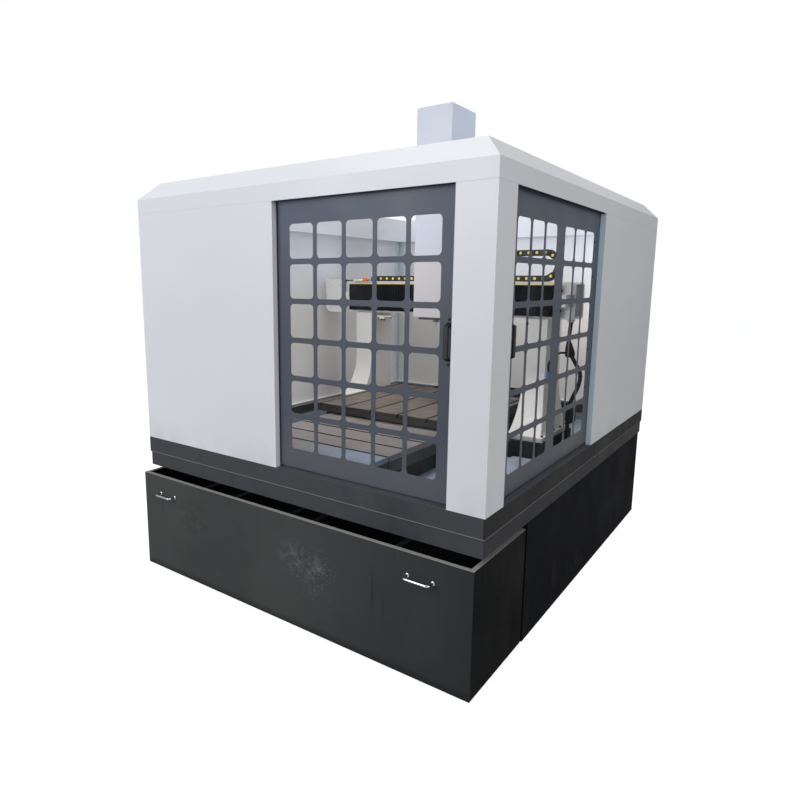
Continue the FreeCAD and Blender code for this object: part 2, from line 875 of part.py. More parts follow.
def side_door():
    """Pieces of the side door by name, drawn on the front face and turned."""
    first = side_leaf_front + side_leaf_margin_front
    last = side_leaf_rear - side_leaf_margin_rear
    group = (last - first - side_stile) / 2.0
    spans = window_spans(first, first + group, window_gap_across, side_window_columns)
    spans += window_spans(last - group, last, window_gap_across, side_window_columns)
    pieces = {
        "side_door_leaf": leaf(side_leaf_front, side_leaf_rear, spans),
        "side_door_pane": pane(spans),
        "side_door_handle": door_handle(side_leaf_front + side_handle_inset),
        "side_door_glides": door_glides(side_leaf_front, side_leaf_rear),
    }
    return {name: on_right_side(shape) for name, shape in pieces.items()}


# ================================================================ chip drawer
def drawer_tray():
    """Wide open tray with a folded lip, cross strips and lugs for its axles."""
    side = skirt_half
    y0 = -drawer_proud
    wall = drawer_wall
    shell = box(-side, side, y0, drawer_rear, drawer_floor_gap, drawer_top)
    inside = box(-side + wall, side - wall, y0 + wall, drawer_rear - wall, drawer_floor, drawer_top - wall)
    below = box(-side + wall, side - wall, y0 + wall, drawer_rear - wall, 0, drawer_floor - wall)
    lip = drawer_lip
    mouth = box(-side + lip, side - lip, y0 + lip, drawer_rear - lip, drawer_top - wall, drawer_top)
    tray = shell.cut([inside, below, mouth])
    strips = []
    for x in strip_places:
        strips.append(box(
            x - strip_width / 2.0, x + strip_width / 2.0, y0 + wall, drawer_rear - wall,
            strip_top - strip_thickness, strip_top,
        ))
    return fuse([tray] + strips + axle_lugs())


def axle_lugs():
    """Hangers under the tray beside the wheels, slotted from below for the axles."""
    lugs = []
    x = wheel_place - wheel_width / 2.0 - lug_gap - lug_thickness
    under = drawer_floor - drawer_wall
    low = wheel_radius - lug_below_axle
    slot = axle_radius + running_clearance
    for y in (axle_front, axle_rear):
        plate = box(x, x + lug_thickness, y - lug_width / 2.0, y + lug_width / 2.0, low, under)
        bore = rod((x, y, wheel_radius), (1, 0, 0), slot, lug_thickness)
        mouth = box(x, x + lug_thickness, y - slot, y + slot, low, wheel_radius)
        plate = plate.cut([bore, mouth])
        lugs.append(plate)
        lugs.append(mirrored(plate))
    return lugs


def drawer_axle(y):
    """Axle with two wheels that roll on the floor."""
    bar = rod((-axle_half_length, y, wheel_radius), (1, 0, 0), axle_radius, axle_half_length * 2)
    wheels = []
    for x in (-wheel_place, wheel_place):
        wheels.append(rod((x - wheel_width / 2.0, y, wheel_radius), (1, 0, 0), wheel_radius, wheel_width))
    return fuse([bar] + wheels)


def drawer_grating():
    """Slatted grid in the right-hand end of the tray."""
    y0 = -drawer_proud + drawer_wall
    y1 = drawer_rear - drawer_wall
    top = strip_top
    low = strip_top - grating_height
    right = grating_right
    bars = []
    for k in range(grating_bars):
        x = grating_left + grating_pitch * k
        bars.append(box(x, x + grating_bar, y0 + grating_frame, y1 - grating_frame, low, top))
    ends = [
        box(grating_left, right, y0, y0 + grating_frame, low, top),
        box(grating_left, right, y1 - grating_frame, y1, low, top),
    ]
    return fuse(ends + bars)


def drawer_handle(x):
    """Bar bent to a U, mitred round the outside of its bends, with a collar at each foot."""
    face = -drawer_proud
    out = face - drawer_handle_reach
    left = x - drawer_handle_span / 2.0
    right = x + drawer_handle_span / 2.0
    z = drawer_handle_height
    bend = drawer_handle_bend
    step = math.pi / 2.0 / handle_bend_mitres
    widen = 1.0 / math.cos(step / 2.0)
    angles = [step * (k + 0.5) for k in range(handle_bend_mitres)]
    loops = [handle_section(left, face, z, 1.0, 0.0)]
    for a in angles:
        dx, dy = math.cos(a) * widen, math.sin(a) * widen
        loops.append(handle_section(left + bend - bend * dx, out + bend - bend * dy, z, dx, dy))
    for a in reversed(angles):
        dx, dy = -math.cos(a) * widen, math.sin(a) * widen
        loops.append(handle_section(right - bend - bend * dx, out + bend - bend * dy, z, dx, dy))
    loops.append(handle_section(right, face, z, -1.0, 0.0))
    parts = [solid_between(loops)]
    for foot in (left, right):
        collar = regular_outline(
            Vector(foot, face, z), Vector(1, 0, 0), Vector(0, 0, 1), drawer_foot_radius, rod_sides,
        )
        parts.append(prism(collar, (0, -drawer_foot_thickness, 0)))
    return fuse(parts)


def handle_section(x, y, z, dx, dy):
    """Outline of a drawer handle's bar on the mitre at x, y that runs along dx, dy."""
    return regular_outline(Vector(x, y, z), Vector(dx, dy, 0), Vector(0, 0, 1), drawer_handle_rod, rod_sides)


# ================================================================ bed and gantry
def bed():
    """Cast bed: a narrow nose under the covers, a wide rear and wings for the columns."""
    outline = [
        (bed_front, bed_top),
        (bed_rear, bed_top),
        (bed_rear, bed_nose_bottom),
        (bed_wide_rear, bed_leg_shoulder),
        (bed_wide_rear, bed_bottom),
        (bed_leg_front, bed_bottom),
        (bed_leg_front, bed_leg_shoulder),
        (bed_nose_knee, bed_nose_bottom),
        (bed_front, bed_nose_bottom),
    ]
    body = prism_along_x(outline, -bed_half_width, bed_half_width)
    wide = box(-bed_wide_half, bed_wide_half, bed_wide_front, bed_wide_rear, bed_bottom, bed_wing_top)
    wing = [
        (-bed_wing_half, bed_wing_top),
        (-bed_wing_half, pan_floor),
        (-bed_wide_half, bed_gusset_bottom),
        (bed_wide_half, bed_gusset_bottom),
        (bed_wing_half, pan_floor),
        (bed_wing_half, bed_wing_top),
    ]
    wings = prism_along_y(wing, bed_wing_front, bed_wing_rear)
    floor = bed_channel_floor
    channel = box(-bed_channel_half, bed_channel_half, bed_front, bed_rear, floor, bed_top)
    casting = fuse([body, wide, wings]).cut([channel] + bed_cores(floor))
    seats = []
    for y in (y_seat_front, y_seat_rear):
        seat = box(
            -bed_channel_half, bed_channel_half, y - seat_thickness / 2.0, y + seat_thickness / 2.0,
            floor, y_screw_z + y_screw_radius + seat_cap,
        )
        bore = rod((0, y - seat_thickness, y_screw_z), (0, 1, 0), y_screw_radius + running_clearance, seat_thickness * 2)
        seats.append(seat.cut(bore))
    return fuse([casting] + seats)


def bed_cores(channel_floor):
    """The cores that leave the casting hollow from below, with ribs between them."""
    wall = bed_wall
    bottom = bed_bottom
    under_channel = bed_channel_half - wall
    under_way = bed_channel_half + wall
    way_side = bed_half_width - wall
    rows = window_spans(bed_leg_front + wall, bed_wide_rear - wall, bed_rib, bed_core_rows)
    cores = []
    for a, b in rows:
        cores.append(box(-under_channel, under_channel, a, b, bottom, channel_floor - wall))
        cores.append(box(under_way, way_side, a, b, bottom, bed_top - wall))
        cores.append(box(-way_side, -under_way, a, b, bottom, bed_top - wall))
    wide_rows = window_spans(bed_wide_front + wall, bed_wide_rear - wall, bed_rib, bed_wide_core_rows)
    for a, b in wide_rows:
        core = box(bed_half_width, bed_wide_half - wall, a, b, bottom, bed_wing_top - wall)
        cores.append(core)
        cores.append(mirrored(core))
    return cores


def bed_feet():
    """Levelling wedges, each a block with a six-sided jack screw."""
    narrow = bed_half_width - foot_inset
    wide = bed_wide_half - foot_inset
    places = (
        (narrow, bed_leg_front + foot_front_gap),
        (narrow, bed_wide_front - foot_front_gap),
        (wide, bed_wide_front + foot_front_gap),
        (wide, bed_wide_rear - foot_front_gap),
    )
    half_size = foot_size / 2.0
    feet = []
    for x, y in places:
        block = box(x - half_size, x + half_size, y - half_size, y + half_size, 0, foot_height)
        screw = hexagon_bar(x, y, foot_height, foot_screw, bed_bottom - foot_height)
        foot = fuse([block, screw])
        feet.append(foot)
        feet.append(mirrored(foot))
    return Part.makeCompound(feet)


def flared_side(inner, top_edge, foot_edge, top, start, bottom, place):
    """A face whose one edge is straight and whose other sweeps out to a wide foot."""
    bulge = (top_edge * 0.72 + foot_edge * 0.28, bottom + (start - bottom) * 0.42)
    a = place(top_edge, top)
    b = place(top_edge, start)
    c = place(foot_edge, bottom)
    d = place(inner, bottom)
    e = place(inner, top)
    edges = [
        Part.makeLine(a, b),
        Part.Arc(b, place(*bulge), c).toShape(),
        Part.makeLine(c, d),
        Part.makeLine(d, e),
        Part.makeLine(e, a),
    ]
    return Part.Face(Part.Wire(edges))


def column():
    """Right-hand hollow column, flared forwards and outwards to its foot plate."""
    foot_top = bed_wing_top + column_foot_thickness
    column_straight_end = beam_bottom - column_straight
    seen_from_side = flared_side(
        beam_rear, column_top_front, column_foot_front, beam_bottom, column_straight_end, foot_top,
        lambda y, z: Vector(column_inner, y, z),
    )
    seen_from_front = flared_side(
        column_inner, column_top_outer, column_foot_outer, beam_bottom, column_straight_end, foot_top,
        lambda x, z: Vector(x, column_foot_front, z),
    )
    deep = seen_from_side.extrude(Vector(column_foot_outer - column_inner, 0, 0))
    wide = seen_from_front.extrude(Vector(0, beam_rear - column_foot_front, 0))
    lap = column_foot_lap
    foot = box(
        column_inner, column_foot_outer + lap, column_foot_front - lap, beam_rear + lap, bed_wing_top, foot_top,
    )
    wall = column_wall
    hollow = box(
        column_inner + wall, column_top_outer - wall, column_top_front + wall, beam_rear - wall,
        bed_wing_top, beam_bottom - wall,
    )
    return fuse([deep.common(wide), foot]).cut(hollow)


def beam():
    """Hollow cross beam with a trough for the screw between the two rails."""
    body = box(-beam_half_length, beam_half_length, beam_front, beam_rear, beam_bottom, beam_top)
    top_ends = [
        e for e in body.Edges
        if abs(abs(e.CenterOfMass.x) - beam_half_length) < 1 and abs(e.CenterOfMass.z - beam_top) < 1
    ]
    body = body.makeFillet(beam_corner_radius, top_ends)
    rise = beam_trough_height / 2.0
    deep = beam_front + beam_trough_depth
    trough = box(-beam_half_length, beam_half_length, beam_front, deep, x_axis_height - rise, x_axis_height + rise)
    wall = beam_wall
    inside = box(
        -beam_half_length, beam_half_length, deep + wall, beam_rear - wall, beam_bottom + wall, beam_top - wall,
    )
    body = body.cut([trough, inside])
    seats = []
    for x in (-beam_seat, beam_seat):
        seat = box(
            x - seat_thickness / 2.0, x + seat_thickness / 2.0, saddle_rear, deep,
            x_axis_height - rise, x_axis_height + rise,
        )
        bore = rod((x - seat_thickness, x_screw_y, x_axis_height), (1, 0, 0), x_screw_radius + running_clearance, seat_thickness * 2)
        seats.append(seat.cut(bore))
    x, y, z = conduit_points()[0]
    gland = hexagon_bar(x, y, z, gland_radius, gland_height)
    return fuse([body, gland] + seats)


def x_rails():
    """Two guide rails on the beam's front face."""
    rails = []
    for side in (-1, 1):
        z = x_axis_height + side * x_rail_spacing / 2.0
        rails.append(box(
            x_rail_inset - beam_half_length, beam_half_length - x_rail_inset,
            beam_front - rail_height, beam_front,
            z - rail_width / 2.0, z + rail_width / 2.0,
        ))
    return Part.makeCompound(rails)


def x_screw():
    """Ball screw along the beam, ending at the motor."""
    start = -beam_half_length
    return rod((start, x_screw_y, x_axis_height), (1, 0, 0), x_screw_radius, beam_seat + seat_thickness - start)


def servo_motor(size, length):
    """Square servo motor along +Z from its flange, with an encoder cap."""
    flange_half = size / 2.0
    body_half = size / 2.0 - motor_flange_lip
    cap_half = body_half - motor_cap_step
    flange = box(-flange_half, flange_half, -flange_half, flange_half, 0, motor_flange)
    body = box(-body_half, body_half, -body_half, body_half, 0, length - motor_cap)
    middle = (length - motor_cap) / 2.0
    body_edges = [e for e in body.Edges if abs(e.CenterOfMass.z - middle) < 1]
    body = body.makeChamfer(motor_chamfer, body_edges)
    cap = box(-cap_half, cap_half, -cap_half, cap_half, length - motor_cap, length)
    return fuse([flange, body, cap])


def x_motor():
    """Servo motor on the beam's left end."""
    motor = servo_motor(x_motor_size, x_motor_length)
    motor.rotate(Vector(0, 0, 0), Vector(0, 1, 0), -90)
    motor.translate(Vector(-beam_half_length, x_screw_y, x_axis_height))
    return motor


def motor_cover_outline(inset, right):
    """Outline of the motor cover with its cut lower corner, shrunk by inset."""
    left = inset - beam_half_length - x_motor_length - motor_cover_gap
    low = beam_bottom - motor_cover_below + inset
    top = beam_top + motor_cover_above - inset
    cut = motor_cover_chamfer
    return [(right, top), (left, top), (left, low + cut), (left + cut, low), (right, low)]


def x_motor_cover():
    """Sheet cover over the motor, open towards the beam."""
    front = bellows_front
    rear = beam_rear - motor_cover_rear_gap
    outer = prism_along_y(motor_cover_outline(0, -beam_half_length), front, rear)
    inner = prism_along_y(motor_cover_outline(sheet, 0), front + sheet, rear - sheet)
    return outer.cut(inner)


def pleated_cover(a, b, section):
    """Folded bellows from a to b, through open sections that step in and out.

    section(place, inset) gives the corner points of one closed, C-shaped outline.
    """
    loops = []
    steps = bellows_pleats * 2
    for k in range(steps + 1):
        place = a + (b - a) * k / steps
        inset = bellows_fold * (k % 2)
        loops.append([Vector(*p) for p in section(place, inset)])
    return solid_between(loops)


def x_bellows_section(x, inset):
    """C-shaped section round the rails, open towards the beam."""
    skin = bellows_skin
    y = bellows_front + inset
    low = bellows_bottom + inset
    top = bellows_top - inset
    return [
        (x, beam_front, low),
        (x, y, low),
        (x, y, top),
        (x, beam_front, top),
        (x, beam_front, top - skin),
        (x, y + skin, top - skin),
        (x, y + skin, low + skin),
        (x, beam_front, low + skin),
    ]


def rear_bellows_section(y, inset):
    """Roof-shaped section over the rear of the bed, open underneath."""
    skin = bellows_skin
    side = rear_bellows_half - inset
    top = cover_top - inset
    low = cover_skirt_bottom
    return [
        (-side, y, low),
        (-side, y, top),
        (side, y, top),
        (side, y, low),
        (side - skin, y, low),
        (side - skin, y, top - skin),
        (-side + skin, y, top - skin),
        (-side + skin, y, low),
    ]


def rear_way_bellows():
    """Bellows behind the table, with the end frame that stands on the bed."""
    y0 = table_rear - rear_bellows_tuck
    y1 = bed_rear - rear_bellows_frame
    folds = pleated_cover(y0, y1, rear_bellows_section)
    frame = box(-rear_bellows_half, rear_bellows_half, y1, bed_rear, bed_top, cover_top)
    return fuse([folds, frame])


# ================================================================ carriage and spindle
def rail_groove_x(z):
    """The room that a rail along X needs in a guide block."""
    grow = rail_width / 2.0 + block_clearance
    return box(
        -beam_half_length, beam_half_length, beam_front - rail_height - block_clearance, beam_front,
        z - grow, z + grow,
    )


def x_saddle():
    """Tall carriage plate with its guide blocks, nut bracket, screw seats and chain arm."""
    plate = box(
        carriage_x - saddle_half, carriage_x + saddle_half, saddle_front, saddle_rear, saddle_bottom, saddle_top,
    )
    trough = box(
        carriage_x - saddle_trough_half, carriage_x + saddle_trough_half, saddle_front,
        saddle_front + saddle_trough_depth, saddle_bottom, saddle_top,
    )
    plate = plate.cut(trough)
    blocks = []
    for side in (-1, 1):
        z = x_axis_height + side * x_rail_spacing / 2.0
        for end in (-1, 1):
            x = carriage_x + end * x_block_spacing / 2.0
            block = box(
                x - block_length / 2.0, x + block_length / 2.0, saddle_rear, beam_front - block_lift,
                z - block_width / 2.0, z + block_width / 2.0,
            )
            blocks.append(block.cut(rail_groove_x(z)))
    nut_half = x_screw_radius + nut_wall
    nut = box(
        carriage_x - nut_length / 2.0, carriage_x + nut_length / 2.0, saddle_rear, x_screw_y + nut_half,
        x_axis_height - nut_half, x_axis_height + nut_half,
    )
    nut_bore = rod(
        (carriage_x - nut_length, x_screw_y, x_axis_height), (1, 0, 0),
        x_screw_radius + nut_clearance, nut_length * 2,
    )
    seats = []
    for z in (z_seat_low, z_seat_high):
        seat = box(
            carriage_x - saddle_trough_half, carriage_x + saddle_trough_half, saddle_front + block_clearance,
            saddle_front + saddle_trough_depth, z, z + seat_thickness,
        )
        bore = rod((carriage_x, z_screw_y, z), (0, 0, 1), z_screw_radius + running_clearance, seat_thickness)
        seats.append(seat.cut(bore))
    return fuse([plate, nut.cut(nut_bore), chain_arm()] + blocks + seats)


def chain_arm():
    """Plate from the carriage over the beam, which carries the chain's moving end."""
    top = beam_top + chain_radius * 2.0
    front = box(
        chain_moving_x - chain_arm_width, chain_moving_x, saddle_rear, chain_y + chain_width / 2.0,
        top - chain_arm_thickness, top,
    )
    rib = prism_along_x(
        [(saddle_rear, top - chain_arm_width), (saddle_rear, top), (chain_y, top)],
        chain_moving_x - chain_arm_width, chain_moving_x - chain_arm_width + chain_arm_thickness,
    )
    return front.fuse(rib)


def z_housing():
    """Tall sheet box round the vertical slide, open at the bottom and against the saddle."""
    outer = box(housing_left, housing_right, housing_front, saddle_rear, housing_bottom, housing_top)
    hollow = box(
        housing_left + sheet, housing_right - sheet, housing_front + sheet, saddle_rear - sheet,
        housing_bottom, housing_top - sheet,
    )
    open_rear = box(
        housing_left + sheet, housing_right - sheet, saddle_rear - sheet, saddle_rear, housing_bottom, saddle_top,
    )
    return outer.cut([hollow, open_rear])


def z_rails():
    """Two guide rails on the saddle's front."""
    rails = []
    for side in (-1, 1):
        x = carriage_x + side * z_rail_offset
        rails.append(box(
            x - rail_width / 2.0, x + rail_width / 2.0, saddle_front - rail_height, saddle_front,
            z_rail_bottom, z_rail_top,
        ))
    return Part.makeCompound(rails)


def z_screw():
    """Vertical ball screw between its two seats and the motor."""
    return rod((carriage_x, z_screw_y, z_seat_low), (0, 0, 1), z_screw_radius, saddle_top - z_seat_low)


def z_motor():
    """Servo motor on top of the saddle."""
    motor = servo_motor(z_motor_size, z_motor_length)
    motor.translate(Vector(carriage_x, z_screw_y, saddle_top))
    return motor


def z_slide():
    """Slide plate with its guide blocks, nut bracket and the clamp round the spindle."""
    plate = box(
        carriage_x - slide_half_width, carriage_x + slide_half_width, slide_front, slide_rear,
        slide_bottom, slide_top,
    )
    blocks = []
    groove_half = rail_width / 2.0 + block_clearance
    for side in (-1, 1):
        x = carriage_x + side * z_rail_offset
        for z in (z_block_low, z_block_high):
            block = box(
                x - block_width / 2.0, x + block_width / 2.0, slide_rear, saddle_front - block_lift,
                z - block_length / 2.0, z + block_length / 2.0,
            )
            groove = box(
                x - groove_half, x + groove_half, saddle_front - rail_height - block_clearance, saddle_front,
                z - block_length, z + block_length,
            )
            blocks.append(block.cut(groove))
    nut_half = z_screw_radius + nut_wall * 0.6
    nut = box(
        carriage_x - nut_half, carriage_x + nut_half, slide_rear, z_screw_y + nut_half,
        z_nut_height - nut_length / 2.0, z_nut_height + nut_length / 2.0,
    )
    nut_bore = rod(
        (carriage_x, z_screw_y, z_nut_height - nut_length), (0, 0, 1),
        z_screw_radius + nut_clearance, nut_length * 2,
    )
    clamp = box(
        carriage_x - clamp_half_width, carriage_x + clamp_half_width, spindle_y - clamp_front, slide_front,
        clamp_bottom, clamp_bottom + clamp_height,
    )
    clamp_bore = rod((carriage_x, spindle_y, clamp_bottom), (0, 0, 1), spindle_radius, clamp_height)
    return fuse([plate, nut.cut(nut_bore), clamp.cut(clamp_bore)] + blocks)


def spindle_body():
    """Spindle cartridge with its lower flange and a bore for the shaft."""
    flange_top = spindle_flange_bottom + spindle_flange_thickness
    body = rod((carriage_x, spindle_y, flange_top), (0, 0, 1), spindle_radius, spindle_top - flange_top)
    flange = box(
        carriage_x - spindle_flange_half, carriage_x + spindle_flange_half,
        spindle_y - spindle_flange_front, spindle_y + spindle_flange_rear, spindle_flange_bottom, flange_top,
    )
    corners = [e for e in flange.Edges if abs(e.CenterOfMass.z - (spindle_flange_bottom + flange_top) / 2.0) < 0.1]
    flange = flange.makeChamfer(spindle_flange_corner, corners)
    bore = rod(
        (carriage_x, spindle_y, spindle_flange_bottom), (0, 0, 1), shaft_radius + running_clearance,
        shaft_length + running_clearance,
    )
    return fuse([body, flange]).cut(bore)


def spindle_shaft():
    """Turning shaft with its six-sided collet nut, bored for the cutter."""
    nose = spindle_flange_bottom - collet_nut_height
    shaft = rod((carriage_x, spindle_y, nose), (0, 0, 1), shaft_radius, shaft_length + collet_nut_height)
    nut = hexagon_bar(carriage_x, spindle_y, nose, collet_nut_radius, collet_nut_height - nut_clearance)
    bore = rod((carriage_x, spindle_y, nose), (0, 0, 1), cutter_radius, cutter_in)
    return fuse([shaft, nut]).cut(bore)


def cutter():
    """End mill held in the collet."""
    low = spindle_flange_bottom - collet_nut_height - cutter_out
    return rod((carriage_x, spindle_y, low), (0, 0, 1), cutter_radius, cutter_out + cutter_in)


# ================================================================ table and covers
def t_slot(x):
    """One T-shaped slot along the table, as the body that is cut away."""
    neck_low = table_top - slot_neck_depth
    neck = box(x - slot_neck / 2.0, x + slot_neck / 2.0, table_front, table_rear, neck_low, table_top)
    head = box(
        x - slot_head / 2.0, x + slot_head / 2.0, table_front, table_rear, neck_low - slot_head_depth, neck_low,
    )
    return neck.fuse(head)


def slot_places():
    """X of every T-slot, centred on the table."""
    outer = table_half_width - slot_edge_margin
    return [outer * (2.0 * k / (slot_count - 1) - 1.0) for k in range(slot_count)]


def table():
    """Cast table with T-slots."""
    top = box(-table_half_width, table_half_width, table_front, table_rear, table_under, table_top)
    return top.cut([t_slot(x) for x in slot_places()])


def table_carrier():
    """Guide blocks with their pads, the nut bracket, and the bars that draw the covers."""
    pieces = []
    block_top = bed_top + block_height
    groove_half = rail_width / 2.0 + block_clearance
    half_across = block_width / 2.0
    half_along = block_length / 2.0
    for x in (-y_rail_offset, y_rail_offset):
        for y in (table_middle - y_block_offset, table_middle + y_block_offset):
            block = box(
                x - half_across, x + half_across, y - half_along, y + half_along, bed_top + block_lift, table_under,
            )
            groove = box(
                x - groove_half, x + groove_half, y - half_along, y + half_along,
                bed_top, bed_top + rail_height + block_clearance,
            )
            pieces.append(block.cut(groove))
        pieces.append(box(
            x - half_across, x + half_across,
            table_middle - y_block_offset, table_middle + y_block_offset, block_top, table_under,
        ))
    pieces.append(box(
        -y_rail_offset, y_rail_offset,
        table_middle - nut_length / 2.0, table_middle + nut_length / 2.0, block_top, table_under,
    ))
    nut_half = y_screw_radius + nut_wall
    nut_front = table_middle - nut_length / 2.0
    nut_rear = table_middle + nut_length / 2.0
    nut = box(-nut_half, nut_half, nut_front, nut_rear, y_screw_z - nut_half, table_under)
    bore = rod((0, nut_front, y_screw_z), (0, 1, 0), y_screw_radius + nut_clearance, nut_length)
    lug_half = cover_half_width - table_lug_width / 2.0
    lug_front = table_front + cover_tuck - table_lug_width
    lugs = [
        box(-lug_half, lug_half, lug_front - table_lug_width / 2.0, lug_front, cover_top, table_under),
        box(-lug_half, lug_half, table_rear - table_lug_width, table_rear, cover_top, table_under),
    ]
    return fuse([nut.cut(bore)] + pieces + lugs)


def y_rails():
    """Two guide rails along the bed."""
    rails = []
    for x in (-y_rail_offset, y_rail_offset):
        rails.append(box(
            x - rail_width / 2.0, x + rail_width / 2.0,
            bed_front + y_rail_front_gap, bed_rear - y_rail_rear_gap,
            bed_top, bed_top + rail_height,
        ))
    return Part.makeCompound(rails)


def y_screw():
    """Ball screw along the bed, ending at the motor."""
    start = y_seat_front - seat_thickness
    length = y_seat_rear + seat_thickness - start
    return rod((0, start, y_screw_z), (0, 1, 0), y_screw_radius, length)


def y_motor():
    """Servo motor at the rear of the bed's channel."""
    motor = servo_motor(y_motor_size, y_motor_length)
    motor.rotate(Vector(0, 0, 0), Vector(1, 0, 0), -90)
    motor.translate(Vector(0, y_seat_rear + seat_thickness, y_screw_z))
    plinth_top = y_screw_z - y_motor_size / 2.0
    plinth = box(
        -y_motor_size / 2.0, y_motor_size / 2.0, y_seat_rear + seat_thickness,
        y_seat_rear + seat_thickness + motor_flange, bed_channel_floor, plinth_top,
    )
    return fuse([motor, plinth])


def way_cover(k):
    """Nesting steel cover number k, counted from the fixed one at the front."""
    nest = (cover_count - 1 - k) * cover_step
    side = cover_half_width - nest
    top = cover_top - nest
    step = (cover_last_start - cover_first_start) / (cover_count - 1)
    y0 = cover_first_start + k * step
    y1 = y0 + cover_length
    cover = box(-side, side, y0, y1, cover_skirt_bottom, top)
    hollow = box(-side + cover_sheet, side - cover_sheet, y0, y1, cover_skirt_bottom, top - cover_sheet)
    cover = cover.cut(hollow)
    if k:
        return cover
    end = box(-side + cover_sheet, side - cover_sheet, y0, y0 + cover_sheet * 2, bed_top, top - cover_sheet)
    return fuse([cover, end])


# ================================================================ chain and conduit
def chain_point(distance):
    """Middle and slope of the link at a distance along the chain from its moving end.

    Round the turn the pins lie on the arc, so a link's middle lies on the chord inside it.
    """
    low = beam_top + chain_height / 2.0
    straight = chain_turn_x - chain_moving_x
    around = math.pi * chain_radius
    chord = chain_radius * math.cos(chain_pitch / 2.0 / chain_radius)
    if distance < straight:
        return chain_moving_x + distance, low + chain_radius * 2, 0.0
    if distance < straight + around:
        angle = (distance - straight) / chain_radius
        x = chain_turn_x + chord * math.sin(angle)
        z = low + chain_radius + chord * math.cos(angle)
        return x, z, -angle
    return chain_turn_x - (distance - straight - around), low, -math.pi


def chain_link(distance, width):
    """One link: a bar with its corners cut, across the chain's width."""
    long = chain_pitch / 2.0
    tall = chain_height / 2.0
    blunt = chain_end_width / 2.0
    cut = tall - blunt
    outline = [
        (-long, -blunt), (cut - long, -tall), (long - cut, -tall), (long, -blunt),
        (long, blunt), (long - cut, tall), (cut - long, tall), (-long, blunt),
    ]
    link = prism_along_y(outline, -width / 2.0, width / 2.0)
    x, z, slope = chain_point(distance)
    link.rotate(Vector(0, 0, 0), Vector(0, 1, 0), -math.degrees(slope))
    link.translate(Vector(x, chain_y, z))
    return link


def chain_links(first, last):
    """Links from number first to last, alternately wide and narrow, as separate solids."""
    links = []
    for k in range(first, last):
        width = chain_narrow if k % 2 else chain_width
        links.append(chain_link((k + 0.5) * chain_pitch, width))
    return links


def chain_counts():
    """How many links there are up to the first one past the turn, and in all."""
    straight = chain_turn_x - chain_moving_x
    around = math.pi * chain_radius
    moving = int((straight + around) / chain_pitch + 0.5) + 1
    total = int(round((straight + around + chain_turn_x - chain_fixed_x) / chain_pitch))
    return moving, total


def drag_chain_upper():
    """The upper run and the turn of the chain."""
    moving, _ = chain_counts()
    return Part.makeCompound(chain_links(0, moving))


def drag_chain_lower():
    """The lower run, which lies on the beam."""
    moving, total = chain_counts()
    return Part.makeCompound(chain_links(moving, total))


def conduit_points():
    """The conduit's route: down from the beam's gland, out in a bow and back to the pan's gland."""
    heading = math.radians(conduit_heading)
    x = beam_half_length - conduit_top_inset
    y = beam_front + conduit_top_setback
    z = beam_bottom - gland_height
    drops = [drop for _, drop in conduit_bulge]
    whole = z - pan_floor - gland_height
    stretch = whole / sum(drops)
    points = [Vector(x, y, z)]
    for out, drop in conduit_bulge:
        z -= drop * stretch
        points.append(Vector(x + out * math.cos(heading), y + out * math.sin(heading), z))
    return points


def conduit_bends():
    """Each bend's start, end, centre, angle and radius, as wide as its two runs allow."""
    bends = []
    points = conduit_points()
    for a, b, c in zip(points, points[1:], points[2:]):
        before = (a - b).normalize()
        after = (c - b).normalize()
        half_turn = (math.pi - before.getAngle(after)) / 2.0
        reach = 0.45 * min((a - b).Length, (c - b).Length)
        radius = reach / math.tan(half_turn)
        centre = b + (before + after).normalize() * (radius / math.cos(half_turn))
        bends.append((b + before * reach, b + after * reach, centre, half_turn * 2.0, radius))
    return bends


def conduit():
    """Cable conduit from the beam's end to the pan: straight runs joined by tangent arcs.

    Its route lies in one upright plane, so each run is a prism and each arc a turned one.
    """
    points = conduit_points()
    heading = math.radians(conduit_heading)
    normal = Vector(-math.sin(heading), math.cos(heading), 0)
    last = points[0]
    pieces = []
    for start, end, centre, turn, _ in conduit_bends():
        along = (start - last).normalize()
        section = Part.Face(conduit_section(start, along, normal))
        pieces.append(Part.Face(conduit_section(last, along, normal)).extrude(start - last))
        pieces.append(section.revolve(centre, along.cross(end - start), math.degrees(turn)))
        last = end
    along = (points[-1] - last).normalize()
    pieces.append(Part.Face(conduit_section(last, along, normal)).extrude(points[-1] - last))
    return fuse(pieces)


def conduit_length():
    """Length along the conduit's middle line."""
    points = conduit_points()
    last = points[0]
    length = 0.0
    for start, end, _, turn, radius in conduit_bends():
        length += (start - last).Length + radius * turn
        last = end
    return length + (points[-1] - last).Length


def conduit_section(place, along, normal):
    """The conduit's outline square to its path at a place."""
    corners = regular_outline(place, normal, along.cross(normal), conduit_radius, conduit_sides)
    return Part.makePolygon(corners + corners[:1])


